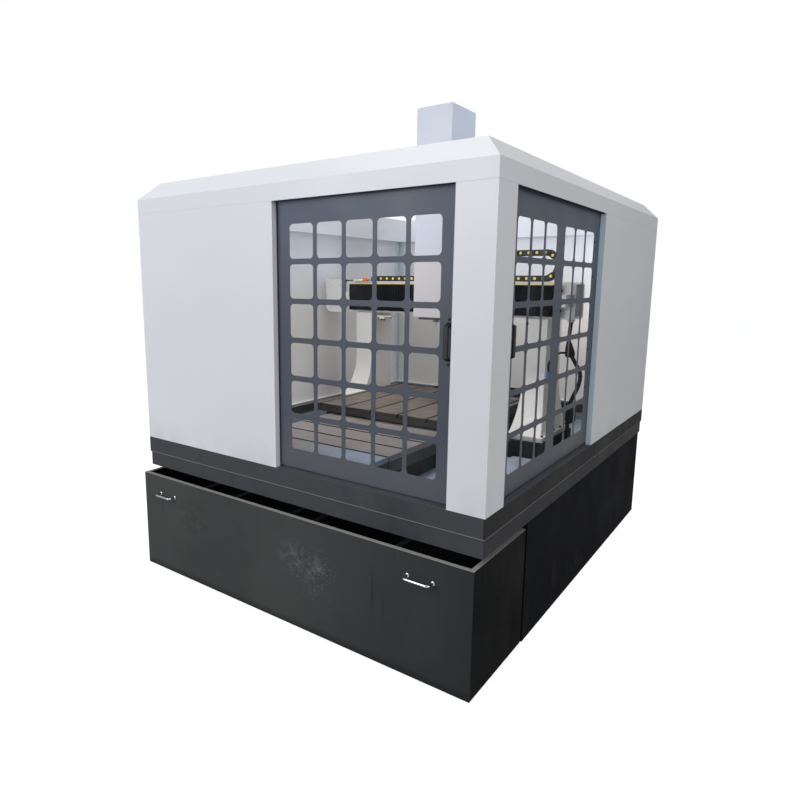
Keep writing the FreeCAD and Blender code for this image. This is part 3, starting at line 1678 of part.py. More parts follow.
# ================================================================ all pieces
def all_pieces():
    """Every piece by name, in the front-face layout."""
    pieces = {
        "upper_band": upper_band(),
        "lower_band": lower_band(),
        "skirt_right": skirt_side(),
        "skirt_left": mirrored(skirt_side()),
        "skirt_rear": skirt_rear(),
        "front_left_panel": front_panel(-half, front_panel_edge),
        "right_panel": on_right_side(front_panel(side_panel_edge, enclosure_depth - panel_return - panel_seam)),
        "left_panel": left_panel(),
        "rear_panel": rear_panel(),
        "corner_post": corner_post(),
        "roof_ring": roof_ring(),
        "chip_pan": chip_pan(),
        "drawer_tray": drawer_tray(),
        "drawer_grating": drawer_grating(),
        "drawer_handle_left": drawer_handle(drawer_handle_left_x),
        "drawer_handle_right": drawer_handle(drawer_handle_right_x),
        "drawer_axle_front": drawer_axle(axle_front),
        "drawer_axle_rear": drawer_axle(axle_rear),
        "bed": bed(),
        "bed_feet": bed_feet(),
        "column_right": column(),
        "column_left": mirrored(column()),
        "beam": beam(),
        "x_rails": x_rails(),
        "x_screw": x_screw(),
        "x_motor": x_motor(),
        "x_motor_cover": x_motor_cover(),
        "x_bellows_left": pleated_cover(-bellows_end, housing_left, x_bellows_section),
        "x_bellows_right": pleated_cover(housing_right, bellows_end, x_bellows_section),
        "x_saddle": x_saddle(),
        "z_housing": z_housing(),
        "z_rails": z_rails(),
        "z_screw": z_screw(),
        "z_motor": z_motor(),
        "z_slide": z_slide(),
        "spindle_body": spindle_body(),
        "spindle_shaft": spindle_shaft(),
        "cutter": cutter(),
        "table": table(),
        "table_carrier": table_carrier(),
        "door_top_tracks": Part.makeCompound([
            top_track(track_end_gap - half, half - corner_track_gap),
            on_right_side(top_track(corner_track_gap, enclosure_depth - track_rear_gap)),
        ]),
        "y_rails": y_rails(),
        "y_screw": y_screw(),
        "y_motor": y_motor(),
        "rear_way_bellows": rear_way_bellows(),
        "drag_chain_upper": drag_chain_upper(),
        "drag_chain_lower": drag_chain_lower(),
        "conduit": conduit(),
    }
    pieces.update(front_door())
    pieces.update(side_door())
    for k in range(cover_count):
        pieces["way_cover_%d" % (k + 1)] = way_cover(k)
    return pieces


def check_conduit():
    """Prints the conduit's bend radii, and its volume against section times length."""
    print("conduit bend radii", " ".join("%.0f" % bend[-1] for bend in conduit_bends()))
    outline = regular_outline(Vector(0, 0, 0), Vector(1, 0, 0), Vector(0, 1, 0), conduit_radius, conduit_sides)
    section = Part.Face(Part.makePolygon(outline + outline[:1])).Area
    share = conduit().Volume / (section * conduit_length())
    print("conduit length %.0f, volume over section times length %.4f" % (conduit_length(), share))


def main():
    os.makedirs("parts", exist_ok=True)
    for name, shape in all_pieces().items():
        placed = shape.copy()
        placed.translate(Vector(0, -footprint_middle, 0))
        placed.exportStep("parts/%s.step" % name)
        print("%-22s solids %2d valid %s volume %.0f" % (name, len(placed.Solids), placed.isValid(), placed.Volume))
    check_conduit()


main()
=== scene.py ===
"""Finish, soft covers and small parts of an enclosed gantry machining centre.

The rigid structure comes from the frame. This file gives every surface its finish and adds
the folded bellows, the drag chain, the conduit, the bright handles, the windowed door
leaves, fasteners, seals and connectors, then the floor, the lights and the camera.
All lengths are in metres, with +Z up.
"""

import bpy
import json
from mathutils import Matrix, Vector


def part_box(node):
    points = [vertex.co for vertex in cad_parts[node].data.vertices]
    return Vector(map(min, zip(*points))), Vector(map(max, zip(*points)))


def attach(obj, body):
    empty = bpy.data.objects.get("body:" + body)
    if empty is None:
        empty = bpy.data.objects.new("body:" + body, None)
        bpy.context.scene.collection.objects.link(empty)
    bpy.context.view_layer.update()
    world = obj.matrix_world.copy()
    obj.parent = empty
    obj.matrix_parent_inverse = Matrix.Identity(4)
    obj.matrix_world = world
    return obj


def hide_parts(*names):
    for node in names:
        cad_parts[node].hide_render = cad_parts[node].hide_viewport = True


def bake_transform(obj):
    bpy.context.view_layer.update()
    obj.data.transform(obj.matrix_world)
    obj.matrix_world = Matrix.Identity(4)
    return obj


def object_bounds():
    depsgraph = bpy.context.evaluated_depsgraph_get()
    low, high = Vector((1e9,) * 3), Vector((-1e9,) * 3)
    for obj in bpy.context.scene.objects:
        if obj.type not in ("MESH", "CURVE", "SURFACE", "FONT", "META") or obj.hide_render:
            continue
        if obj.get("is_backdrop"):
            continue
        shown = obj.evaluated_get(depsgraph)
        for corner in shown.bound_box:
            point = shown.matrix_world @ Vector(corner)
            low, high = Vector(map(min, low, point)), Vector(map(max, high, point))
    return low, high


bl_info = {
    "name": "Machining centre dressing",
    "version": (1, 0, 0),
    "blender": (4, 5, 0),
    "location": "3D View > Sidebar > Machining centre",
    "description": "Finishes, covers, chain, conduit and small parts of a machining centre",
    "category": "Object",
}

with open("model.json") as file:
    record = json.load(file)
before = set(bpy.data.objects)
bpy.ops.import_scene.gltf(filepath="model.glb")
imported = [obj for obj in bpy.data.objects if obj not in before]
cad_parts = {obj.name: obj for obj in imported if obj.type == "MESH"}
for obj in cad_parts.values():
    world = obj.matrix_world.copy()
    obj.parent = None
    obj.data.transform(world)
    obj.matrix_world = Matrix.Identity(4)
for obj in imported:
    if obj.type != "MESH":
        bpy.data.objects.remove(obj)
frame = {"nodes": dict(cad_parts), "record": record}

import json
import math

import bmesh
import bpy
import numpy as np
from bpy.props import FloatProperty, FloatVectorProperty, IntProperty, PointerProperty
from mathutils import Matrix

CAD_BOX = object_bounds()
BOX = {node: tuple(np.array(corner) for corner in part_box(node)) for node in frame["nodes"]}
BODY = {n: b for b, members in frame["record"]["behaviour"]["bodies"].items() for n in members}


# ---------------------------------------------------------------- sizes and colours
def shade(red, green, blue):
    """A colour given in screen steps of 0 to 255, as linear light.

    Each step s becomes (s + 0.055) / 1.055 to the power 2.4, or s / 12.92 near black.
    """
    steps = np.array((red, green, blue)) / 255.0
    light = np.where(steps <= 0.04045, steps / 12.92, ((steps + 0.055) / 1.055) ** 2.4)
    return (*light.tolist(), 1.0)


def metres(name, description, default):
    """A length for the panel."""
    return FloatProperty(name=name, description=description, default=default, unit="LENGTH")


def watts(name, description, default):
    """A light's power for the panel."""
    return FloatProperty(name=name, description=description, default=default, unit="POWER")


def tint(name, *steps):
    """A main colour for the panel, given in screen steps."""
    text = "Main colour of the " + name.lower()
    return FloatVectorProperty(
        name=name, description=text, default=shade(*steps), size=4, min=0.0, max=1.0, subtype="COLOR",
    )


class FinishColours(bpy.types.PropertyGroup):
    """Main colours of the finishes."""

    panels: tint("Panels", 224, 227, 233)
    bands: tint("Base bands", 74, 75, 79)
    skirts: tint("Skirts", 26, 27, 30)
    drawer: tint("Chip drawer", 24, 25, 26)
    doors: tint("Doors", 78, 88, 105)
    # The chip pan's grey with a painted reflection's bluish tint.
    pan: tint("Chip pan", 140, 152, 168)
    bed: tint("Bed", 22, 23, 27)
    gantry: tint("Gantry", 213, 212, 210)
    head: tint("Vertical head", 184, 189, 202)
    table: tint("Table", 82, 72, 63)
    covers: tint("Way covers", 136, 130, 128)
    bellows: tint("Bellows", 4, 4, 11)
    chain: tint("Drag chain", 20, 20, 23)
    caps: tint("Chain's pin caps", 236, 216, 62)


class DoorSizes(bpy.types.PropertyGroup):
    """Sizes of the two sliding leaves."""

    gap_across: metres("Gap across", "Bar between two windows", 0.021)
    gap_up: metres("Gap up", "Bar between two rows", 0.024)
    corner: metres("Corner", "Radius of a window's corner", 0.018)
    sheet: metres("Sheet", "Thickness of the leaf's sheet", 0.002)
    rows: IntProperty(name="Rows", description="Rows of windows", default=6)
    bottom: metres("Bottom", "Leaf below the windows", 0.087)
    top: metres("Top", "Leaf above the windows", 0.123)
    front_left: metres("Front left", "Front leaf left of its windows", 0.080)
    front_right: metres("Front right", "Front leaf right of its windows", 0.076)
    side_front: metres("Side front", "Side leaf ahead of its windows", 0.132)
    side_rear: metres("Side rear", "Side leaf behind its windows", 0.127)
    stile: metres("Stile", "Middle stile of the side leaf", 0.104)


class CoverSizes(bpy.types.PropertyGroup):
    """Sizes of the folded covers."""

    beam_pleats: IntProperty(name="Beam pleats", description="Folds left of the head", default=38)
    rear_pleats: IntProperty(name="Rear pleats", description="Folds behind the table", default=24)
    beam_fold: metres("Beam fold", "Depth of a fold along the beam", 0.005)
    fold: metres("Fold", "Depth of a fold behind the table", 0.012)
    skin: metres("Skin", "Thickness of the coated cloth", 0.0012)


class ChainSizes(bpy.types.PropertyGroup):
    """Sizes of the drag chain."""

    pitch: metres("Pitch", "From pin to pin", 0.050)
    radius: metres("Radius", "Radius of the turn", 0.075)
    height: metres("Height", "Height of a link", 0.036)
    width: metres("Width", "Width over the side plates", 0.054)
    turn: metres("Turn", "X of the turn's middle", 0.606)
    moving: metres("Moving end", "X of the first pin on the carriage", 0.177)
    fixed: metres("Fixed end", "X of the last pin on the beam", -0.555)
    pip: metres("Pip", "Radius of a coloured pin cap", 0.0085)


class ConduitSizes(bpy.types.PropertyGroup):
    """Sizes of the ribbed conduit."""

    radius: metres("Radius", "Outer radius", 0.012)
    rib: metres("Rib", "Height of a rib", 0.0012)
    rib_pitch: metres("Rib pitch", "From rib to rib", 0.0048)


class StageSizes(bpy.types.PropertyGroup):
    """Camera and lights."""

    lens: FloatProperty(name="Lens", description="Focal length in millimetres", default=27.683)
    floor: metres("Floor", "Side of the floor", 60.0)
    key: watts("Key", "Power of the front light", 242.0)
    fill: watts("Fill", "Power of the right-hand light", 104.0)
    top: watts("Top", "Power of the overhead light", 92.0)
    inner: watts("Inner", "Power of the light over the open roof", 5.0)
    lamp: watts("Lamp", "Power of the light inside, behind the front panel", 7.0)
    rear_lamp: watts("Rear lamp", "Power of the light inside, behind the gantry", 3.5)
    rear: watts("Rear", "Power of the light behind the machine", 105.0)
    ambient: FloatProperty(name="Ambient", description="Level of the surroundings", default=0.34)


GROUPS = {
    "machine_colours": FinishColours,
    "machine_doors": DoorSizes,
    "machine_covers": CoverSizes,
    "machine_chain": ChainSizes,
    "machine_conduit": ConduitSizes,
    "machine_stage": StageSizes,
}


def sizes(group):
    """The settings of one group."""
    return getattr(bpy.context.scene, group)


# ---------------------------------------------------------------- finishes
EVEN = (1.0, 1.0, 1.0)


class Nodes:
    """A cleared node tree, with short ways to add to it."""

    def __init__(self, owner):
        owner.use_nodes = True
        self.tree = owner.node_tree
        self.tree.nodes.clear()

    def node(self, kind, inputs, **settings):
        """A new node, each of its inputs set to a value or linked to another's output."""
        made = self.tree.nodes.new("ShaderNode" + kind)
        for name, setting in settings.items():
            setattr(made, name, setting)
        for socket, value in inputs.items():
            self.feed(made.inputs[socket], value)
        return made

    def feed(self, socket, value):
        """Links an output to a socket, or sets the socket to a value."""
        if isinstance(value, bpy.types.NodeSocket):
            self.tree.links.new(value, socket)
        else:
            socket.default_value = value

    def maths(self, operation, first, second):
        """One arithmetic step on two values."""
        return self.node("Math", {0: first, 1: second}, operation=operation).outputs["Value"]

    def product(self, first, *others):
        """Values multiplied together: for masks, 1 only where all of them are."""
        for other in others:
            first = self.maths("MULTIPLY", first, other)
        return first


class Finish(Nodes):
    """A procedural finish: patterns on Object coordinates that feed one Principled shader.

    A colour is three screen steps, or the name of a main colour in the panel. A mask runs
    from 0 to 1.
    """

    def __init__(self, name, colour, roughness=0.5, metallic=0.0, **constants):
        self.name = name
        self.material = bpy.data.materials.new(name)
        super().__init__(self.material)
        if isinstance(colour, str):
            self.base = tuple(getattr(sizes("machine_colours"), colour))
        else:
            self.base = shade(*colour)
        self.colour = self.base
        self.material.diffuse_color = self.base
        self.place = self.node("TexCoord", {}).outputs["Object"]
        fixed = {"Base Color": self.base, "Roughness": roughness, "Metallic": metallic}
        fixed.update({socket.replace("_", " "): value for socket, value in constants.items()})
        self.shader = self.node("BsdfPrincipled", fixed)
        self.node("OutputMaterial", {"Surface": self.shader.outputs["BSDF"]})

    def noise(self, scale, detail=3.0, stretch=EVEN, rough=0.55):
        """Cloudy pattern, scale waves to the metre, stretched by a factor along each axis."""
        place = self.node("Mapping", {"Scale": stretch, "Vector": self.place}).outputs["Vector"]
        waves = {"Scale": scale, "Detail": detail, "Roughness": rough, "Vector": place}
        return self.node("TexNoise", waves).outputs["Fac"]

    def clouds(self, scale, low, high, detail=3.0, stretch=EVEN, rough=0.55):
        """Soft patches: 0 where a cloudy pattern is below low, 1 where it is above high."""
        return self.ramp(self.noise(scale, detail, stretch, rough), low, high)

    def specks(self, scale, low, high, stretch=EVEN):
        """Small spots where a fine cloud passes a level."""
        return self.clouds(scale, low, high, 6.0, stretch, 0.7)

    def bands(self, axis, pitch, profile="SIN"):
        """Stripes square to an axis, one each pitch; the pattern's scale is pi / 10 a wave."""
        stripes = {"Scale": math.pi / 10.0 / pitch, "Vector": self.place}
        made = self.node(
            "TexWave", stripes, wave_type="BANDS", bands_direction=axis, wave_profile=profile,
        )
        return made.outputs["Fac"]

    def along(self, axis, low, high):
        """0 below low and 1 above high on an axis, straight between them."""
        split = self.node("SeparateXYZ", {"Vector": self.place})
        return self.ramp(split.outputs[axis], low, high)

    def spot(self, x, z, reach):
        """1 at a place on an upright face, falling to 0 at a reach from it."""
        flat = self.node("VectorMath", {0: self.place, 1: (1.0, 0.0, 1.0)}, operation="MULTIPLY")
        ends = {0: flat.outputs["Vector"], 1: (x, 0.0, z)}
        far = self.node("VectorMath", ends, operation="DISTANCE")
        return self.ramp(far.outputs["Value"], reach, reach * 0.25)

    def ramp(self, value, low, high, a=0.0, b=1.0):
        """A value between low and high spread over a to b, and held outside."""
        ends = {"Value": value, "From Min": low, "From Max": high, "To Min": a, "To Max": b}
        return self.node("MapRange", ends, clamp=True).outputs["Result"]

    def lay(self, mask, light):
        """Lays a colour, given as linear light, over the finish where the mask is 1."""
        layers = {"Factor": mask, "A": self.colour, "B": light}
        self.colour = self.node("Mix", layers, data_type="RGBA").outputs["Result"]
        self.feed(self.shader.inputs["Base Color"], self.colour)

    def stain(self, mask, steps, strength=1.0):
        """Lays a colour over the finish, by a strength, where the mask is 1."""
        self.lay(mask if strength == 1.0 else self.product(mask, strength), shade(*steps))

    def mottle(self, scale, share):
        """Lightens and darkens the finish in clouds, by a share each way."""
        cloud = self.noise(scale, 4.0)
        for end, factor in ((0.25, 1.0 - share), (0.75, 1.0 + share)):
            light = (*(min(1.0, c * factor) for c in self.base[:3]), 1.0)
            self.lay(self.ramp(cloud, 0.5, end), light)

    def gloss(self, scale, low, high):
        """Roughness that drifts between two levels."""
        drift = self.ramp(self.noise(scale, 4.0), 0.3, 0.7, low, high)
        self.feed(self.shader.inputs["Roughness"], drift)

    def relief(self, height, distance, strength):
        """Raises the surface by a pattern, up to a distance."""
        raised = {"Height": height, "Distance": distance, "Strength": strength}
        self.feed(self.shader.inputs["Normal"], self.node("Bump", raised).outputs["Normal"])
        return self

    def grain(self, scale, distance, strength, detail=2.0, stretch=EVEN):
        """A relief of fine clouds."""
        return self.relief(self.noise(scale, detail, stretch), distance, strength)


def sprayed(name, colour, soil, roughness, soil_share, low, high):
    """Sprayed enamel: faint clouds, soil that thickens towards the lower edge, orange peel."""
    made = Finish(name, colour)
    made.mottle(1.3, 0.025)
    broken = made.clouds(7.0, 0.42, 0.72, 6.0, (1.0, 1.0, 0.35))
    made.stain(made.product(made.along("Z", high, low), broken), soil, soil_share)
    made.stain(made.specks(46.0, 0.70, 0.76), soil, soil_share * 0.5)
    made.gloss(3.0, *roughness)
    return made.grain(420.0, 0.00012, 0.35)


def panel_paint():
    """Cool white outside, cream inside the sheet metal, with painted bluish light on the upper inside,
    on the doorway's jamb and in the rear left corner.
    """
    made = sprayed("panel_paint", "panels", (178, 176, 168), (0.30, 0.44), 0.35, 0.72, 0.86)
    outer, skin = CAD_BOX[1][0], 0.0014
    # Inside the outer faces at the left, right, front and rear, and below the fascia's top.
    inside = made.product(
        made.along("X", -outer + skin / 2.0, -outer + skin),
        made.along("X", outer - skin / 2.0, outer - skin),
        made.along("Y", -1.150, -1.148),
        made.along("Y", 1.3075, 1.3065),
        made.along("Z", 1.998, 1.994),
    )
    made.stain(inside, (223, 221, 218))
    # Painted bluish light on the upper part of the inside.
    made.stain(made.product(inside, made.along("Z", 1.35, 1.80)), (222, 228, 240), 0.9)
    made.stain(made.product(inside, made.clouds(2.1, 0.45, 0.75, 5.0)), (202, 197, 190), 0.5)
    # Painted bluish light on the right panel's front edge, which is the side doorway's jamb.
    jamb = made.product(
        made.along("X", 0.975, 0.981), made.along("Y", 0.0974, 0.0970),
        made.along("Z", 1.9261, 1.9259), made.along("Y", 0.04, 0.06),
    )
    made.stain(jamb, (212, 232, 246), 0.9)
    # Painted bluish light in the rear left corner, inside.
    corner = made.product(made.along("X", -0.942, -0.948), made.along("Y", 1.26, 1.27), inside)
    made.stain(corner, (196, 212, 222), 0.6)
    return made


def band_paint():
    """Dark grey enamel on the base bands, painted shade on their right-hand side, the ledge lighter and
    bluer.
    """
    made = Finish("band_paint", "bands", Specular_IOR_Level=0.04)
    made.mottle(2.2, 0.10)
    made.stain(made.specks(9.0, 0.60, 0.72, (1.0, 1.0, 0.4)), (84, 85, 88), 0.45)
    made.stain(made.specks(60.0, 0.68, 0.72), (110, 108, 104), 0.4)
    made.stain(made.clouds(5.0, 0.55, 0.75, 5.0, (1.0, 1.0, 0.15)), (46, 47, 50), 0.5)
    # Painted shade: the bands darker on their right-hand side.
    right = CAD_BOX[1][0]
    made.stain(made.along("X", right - 0.006, right - 0.004), (46, 46, 46), 0.9)
    # The ledge with its rails, then the upper band's lower edge.
    made.stain(made.along("Z", 0.7262, 0.7267), (88, 92, 98), 0.7)
    edge = made.product(made.along("Z", 0.6425, 0.6430), made.along("Z", 0.6475, 0.6462))
    made.stain(edge, (138, 139, 140), 0.75)
    made.gloss(4.0, 0.40, 0.58)
    return made.grain(420.0, 0.00012, 0.4)


def skirt_paint():
    """Near black enamel round the foot of the machine, with dried splashes low down."""
    made = Finish("skirt_paint", "skirts", Specular_IOR_Level=0.008)
    made.mottle(1.7, 0.14)
    splash = made.clouds(12.0, 0.56, 0.72, 6.0, (1.0, 1.0, 0.3))
    made.stain(made.product(splash, made.along("Z", 0.35, 0.05)), (62, 61, 58), 0.5)
    made.stain(made.specks(70.0, 0.69, 0.73), (74, 74, 74), 0.35)
    made.gloss(3.0, 0.42, 0.6)
    return made.grain(400.0, 0.00012, 0.4)


def drawer_paint():
    """Dark enamel on the chip drawer: rubbed lip, hairline scratches, patches of dust, and painted light
    on the front.
    """
    low, high = BOX["drawer_tray"]
    made = Finish("drawer_paint", "drawer", Specular_IOR_Level=0.012)
    # Painted light: the front lighter than the sides, and darker again towards the right.
    front = made.along("Y", low[1] + 0.004, low[1] + 0.002)
    made.stain(front, (76, 77, 77))
    made.stain(made.product(front, made.along("X", 0.05, 1.0)), (50, 51, 54), 0.85)
    made.stain(made.clouds(3.1, 0.50, 0.80, 5.0, (1.0, 1.0, 0.25)), (78, 78, 79), 0.28)
    made.stain(made.clouds(1.3, 0.50, 0.25, 4.0), (40, 41, 43), 0.35)
    # Rubbed places on the front: x, z, reach, colour and strength.
    rubs = (
        (0.10, 0.346, 0.10, (116, 128, 140), 0.55), (0.24, 0.330, 0.07, (128, 130, 132), 0.6),
        (0.22, 0.262, 0.08, (104, 106, 108), 0.5), (-0.64, 0.368, 0.22, (92, 92, 90), 0.4),
    )
    for x, z, reach, steps, share in rubs:
        rub = made.product(made.spot(x, z, reach), made.clouds(26.0, 0.44, 0.70, 6.0), front)
        made.stain(rub, steps, share)
    chips = made.product(made.spot(0.23, 0.30, 0.16), made.specks(130.0, 0.60, 0.64), front)
    made.stain(chips, (168, 168, 166), 0.7)
    streak = made.clouds(22.0, 0.62, 0.74, 3.0, (1.0, 1.0, 0.06))
    made.stain(made.product(streak, made.along("Z", 0.12, 0.42)), (36, 36, 38), 0.6)
    made.stain(made.specks(80.0, 0.70, 0.74), (106, 104, 100), 0.3)
    made.stain(made.along("Z", high[2] - 0.0018, high[2] - 0.0012), (168, 168, 164), 0.75)
    made.stain(made.along("Z", 0.05, low[2]), (30, 30, 31), 0.6)
    made.gloss(3.2, 0.38, 0.58)
    return made.grain(380.0, 0.00012, 0.4)


def door_paint():
    """Slate enamel, a little darker and duller towards the bottom."""
    made = Finish("door_paint", "doors", Specular_IOR_Level=0.35)
    made.mottle(1.8, 0.05)
    made.stain(made.along("Z", 1.85, 1.45), (74, 79, 90), 0.9)
    made.stain(made.along("Z", 0.98, 0.80), (86, 89, 97), 0.9)
    made.stain(made.specks(38.0, 0.69, 0.74), (120, 124, 130), 0.35)
    made.gloss(3.5, 0.34, 0.5)
    return made.grain(420.0, 0.0001, 0.35)


def clear_sheet():
    """Clear glazing with a thin film of dust and wiped arcs."""
    made = Finish("clear_sheet", (222, 228, 232), 0.06, IOR=1.2)
    film = made.ramp(made.noise(3.0, 5.0, (1.0, 1.0, 0.6)), 0.40, 0.8, 0.006, 0.03)
    made.feed(made.shader.inputs["Alpha"], film)
    made.gloss(6.0, 0.04, 0.14)
    return made


def moulded(name, colour, roughness=(0.42, 0.6), grain=900.0):
    """Moulded plastic with a fine spark grain."""
    made = Finish(name, colour)
    made.mottle(30.0, 0.12)
    made.gloss(60.0, *roughness)
    return made.grain(grain, 0.00008, 0.5)


def bright_chrome():
    """Chrome plate with fine dull pits."""
    made = Finish("bright_chrome", (214, 216, 220), 0.12, 1.0)
    made.stain(made.specks(260.0, 0.66, 0.72), (150, 146, 138), 0.4)
    made.gloss(90.0, 0.08, 0.2)
    return made


def ground_steel():
    """Ground bar with a lengthwise grain and thin oil."""
    made = Finish("ground_steel", (168, 170, 174), 0.3, 1.0)
    made.stain(made.clouds(24.0, 0.5, 0.8, 4.0), (120, 116, 106), 0.4)
    made.gloss(40.0, 0.2, 0.42)
    return made.grain(500.0, 0.00006, 0.5, 2.0, (0.05, 1.0, 1.0))


def turned_steel():
    """Turned steel: fine rings across the axis."""
    made = Finish("turned_steel", (140, 142, 146), 0.32, 1.0)
    made.mottle(60.0, 0.1)
    made.gloss(80.0, 0.24, 0.42)
    return made.relief(made.bands("Z", 0.0007), 0.00004, 0.5)


def blackened_steel():
    """Oil-blackened screw heads and small brackets."""
    made = Finish("blackened_steel", (34, 34, 37), 0.42, 0.6)
    made.mottle(160.0, 0.25)
    made.gloss(120.0, 0.32, 0.5)
    return made


def zinc_plate():
    """Bright plated screw heads."""
    made = Finish("zinc_plate", (176, 178, 180), 0.3, 1.0)
    made.mottle(200.0, 0.15)
    made.gloss(150.0, 0.22, 0.4)
    return made


def pan_paint():
    """Grey enamel in the chip pan, bluish as a painted reflection, with swarf dust and coolant tide
    marks.
    """
    made = Finish("pan_paint", "pan")
    made.mottle(3.0, 0.08)
    made.stain(made.clouds(11.0, 0.48, 0.7, 6.0), (108, 106, 102), 0.55)
    made.stain(made.specks(170.0, 0.62, 0.68), (196, 196, 196), 0.5)
    made.gloss(9.0, 0.35, 0.62)
    return made.grain(300.0, 0.0002, 0.4, 3.0)


def cast_paint():
    """Black paint on rough casting."""
    made = Finish("cast_paint", "bed", Specular_IOR_Level=0.06)
    made.mottle(8.0, 0.2)
    made.stain(made.specks(40.0, 0.64, 0.72), (100, 96, 90), 0.4)
    made.gloss(12.0, 0.5, 0.72)
    return made.grain(160.0, 0.0005, 0.5, 4.0)


def cream_paint():
    """Cream enamel on the gantry, with handling marks and a dusty foot."""
    made = sprayed("cream_paint", "gantry", (152, 147, 138), (0.34, 0.5), 0.5, 0.68, 1.0)
    made.stain(made.clouds(14.0, 0.66, 0.8, 6.0, (1.0, 1.0, 0.5)), (180, 176, 168), 0.35)
    return made


def head_paint():
    """Pale enamel on the vertical head, with painted bluish light on its right side, and warmer below.
    """
    made = sprayed("head_paint", "head", (176, 176, 176), (0.3, 0.42), 0.3, 1.3, 1.5)
    side = BOX["z_housing"][1][0]
    # Painted bluish light on the right side.
    made.stain(made.along("X", side - 0.0016, side - 0.0006), (218, 230, 250))
    made.stain(made.along("Z", 1.735, 1.725), (186, 181, 183), 0.8)
    return made


def table_iron():
    """Machined cast iron: milling passes, brown stains, painted shade on the front edge and in the
    slots.
    """
    top = BOX["table"][1][2]
    made = Finish("table_iron", "table", 0.55, 0.1)
    made.mottle(5.0, 0.12)
    made.stain(made.clouds(9.0, 0.45, 0.72, 7.0, (1.0, 0.5, 1.0)), (66, 54, 44), 0.75)
    made.stain(made.specks(55.0, 0.63, 0.7), (52, 44, 38), 0.6)
    made.stain(made.bands("X", 0.025, "TRI"), (112, 106, 98), 0.18)
    # Painted shade: near black on every face below the top, the front edge and the slots among them.
    made.stain(made.along("Z", top - 0.0012, top - 0.0022), (22, 19, 17), 0.96)
    made.gloss(14.0, 0.38, 0.62)
    return made.grain(260.0, 0.0001, 0.5, 3.0, (0.15, 1.0, 1.0))


def cover_steel(name, painted_highlight=None):
    """Sheet steel way covers: a brushed grain along the travel, wiped oil, near black flanks.

    The front one has a painted bluish highlight towards its right end.
    """
    made = Finish(name, "covers", 0.4, 0.45)
    # Painted bluish highlight towards the front cover's right end.
    if painted_highlight:
        made.stain(made.along("X", -0.12, 0.22), painted_highlight)
    made.mottle(3.0, 0.06)
    made.stain(made.clouds(5.0, 0.5, 0.75, 6.0, (1.0, 0.4, 1.0)), (128, 118, 108), 0.45)
    made.stain(made.specks(90.0, 0.66, 0.7), (92, 84, 76), 0.45)
    flank = BOX["way_cover_1"][1][2] - 0.024
    made.stain(made.along("Z", flank + 0.002, flank - 0.002), (26, 25, 25), 0.94)
    made.gloss(9.0, 0.28, 0.5)
    return made.grain(420.0, 0.00006, 0.6, 2.0, (1.0, 0.03, 1.0))


def bellows_cloth():
    """Coated cloth with a fine weave, dusty in patches."""
    made = Finish("bellows_cloth", "bellows", Specular_IOR_Level=0.03)
    made.mottle(20.0, 0.2)
    made.stain(made.clouds(16.0, 0.58, 0.8, 6.0), (22, 22, 28), 0.25)
    made.gloss(30.0, 0.5, 0.7)
    thread = 0.0016
    weave = made.product(made.bands("X", thread), made.bands("Z", thread))
    return made.relief(weave, 0.00012, 0.5)


def ribbed_plastic():
    """Dull black plastic of the conduit."""
    made = moulded("ribbed_plastic", (14, 14, 15), (0.45, 0.6), 700.0)
    made.feed(made.shader.inputs["Specular IOR Level"], 0.2)
    return made


def seal_rubber():
    """Dull black rubber with bloom."""
    made = Finish("seal_rubber", (17, 17, 18), 0.7, Specular_IOR_Level=0.2)
    made.stain(made.clouds(40.0, 0.5, 0.75, 5.0), (44, 44, 44), 0.4)
    made.gloss(50.0, 0.6, 0.8)
    return made


# A maker of a finish and what it is given. The finishes are made in this order.
FINISH_MAKERS = (
    (panel_paint,), (band_paint,), (skirt_paint,), (drawer_paint,), (door_paint,), (clear_sheet,),
    (moulded, "handle_plastic", (18, 18, 20)),
    (moulded, "glide_nylon", (44, 46, 50), (0.4, 0.55)),
    (bright_chrome,), (ground_steel,), (turned_steel,), (blackened_steel,), (zinc_plate,),
    (pan_paint,), (cast_paint,), (cream_paint,), (head_paint,), (table_iron,),
    (cover_steel, "cover_steel"),
    # The front cover, with its painted bluish highlight.
    (cover_steel, "cover_steel_front", (142, 160, 184)),
    (bellows_cloth,),
    (moulded, "chain_plastic", "chain"),
    (moulded, "pip_yellow", "caps"),
    (moulded, "motor_paint", (40, 41, 44), (0.4, 0.55), 500.0),
    (ribbed_plastic,), (seal_rubber,),
    (moulded, "plug_orange", (222, 118, 44)),
    (moulded, "plug_blue", (44, 92, 176)),
    (moulded, "plug_white", (226, 224, 214)),
)
FINISHES = {}

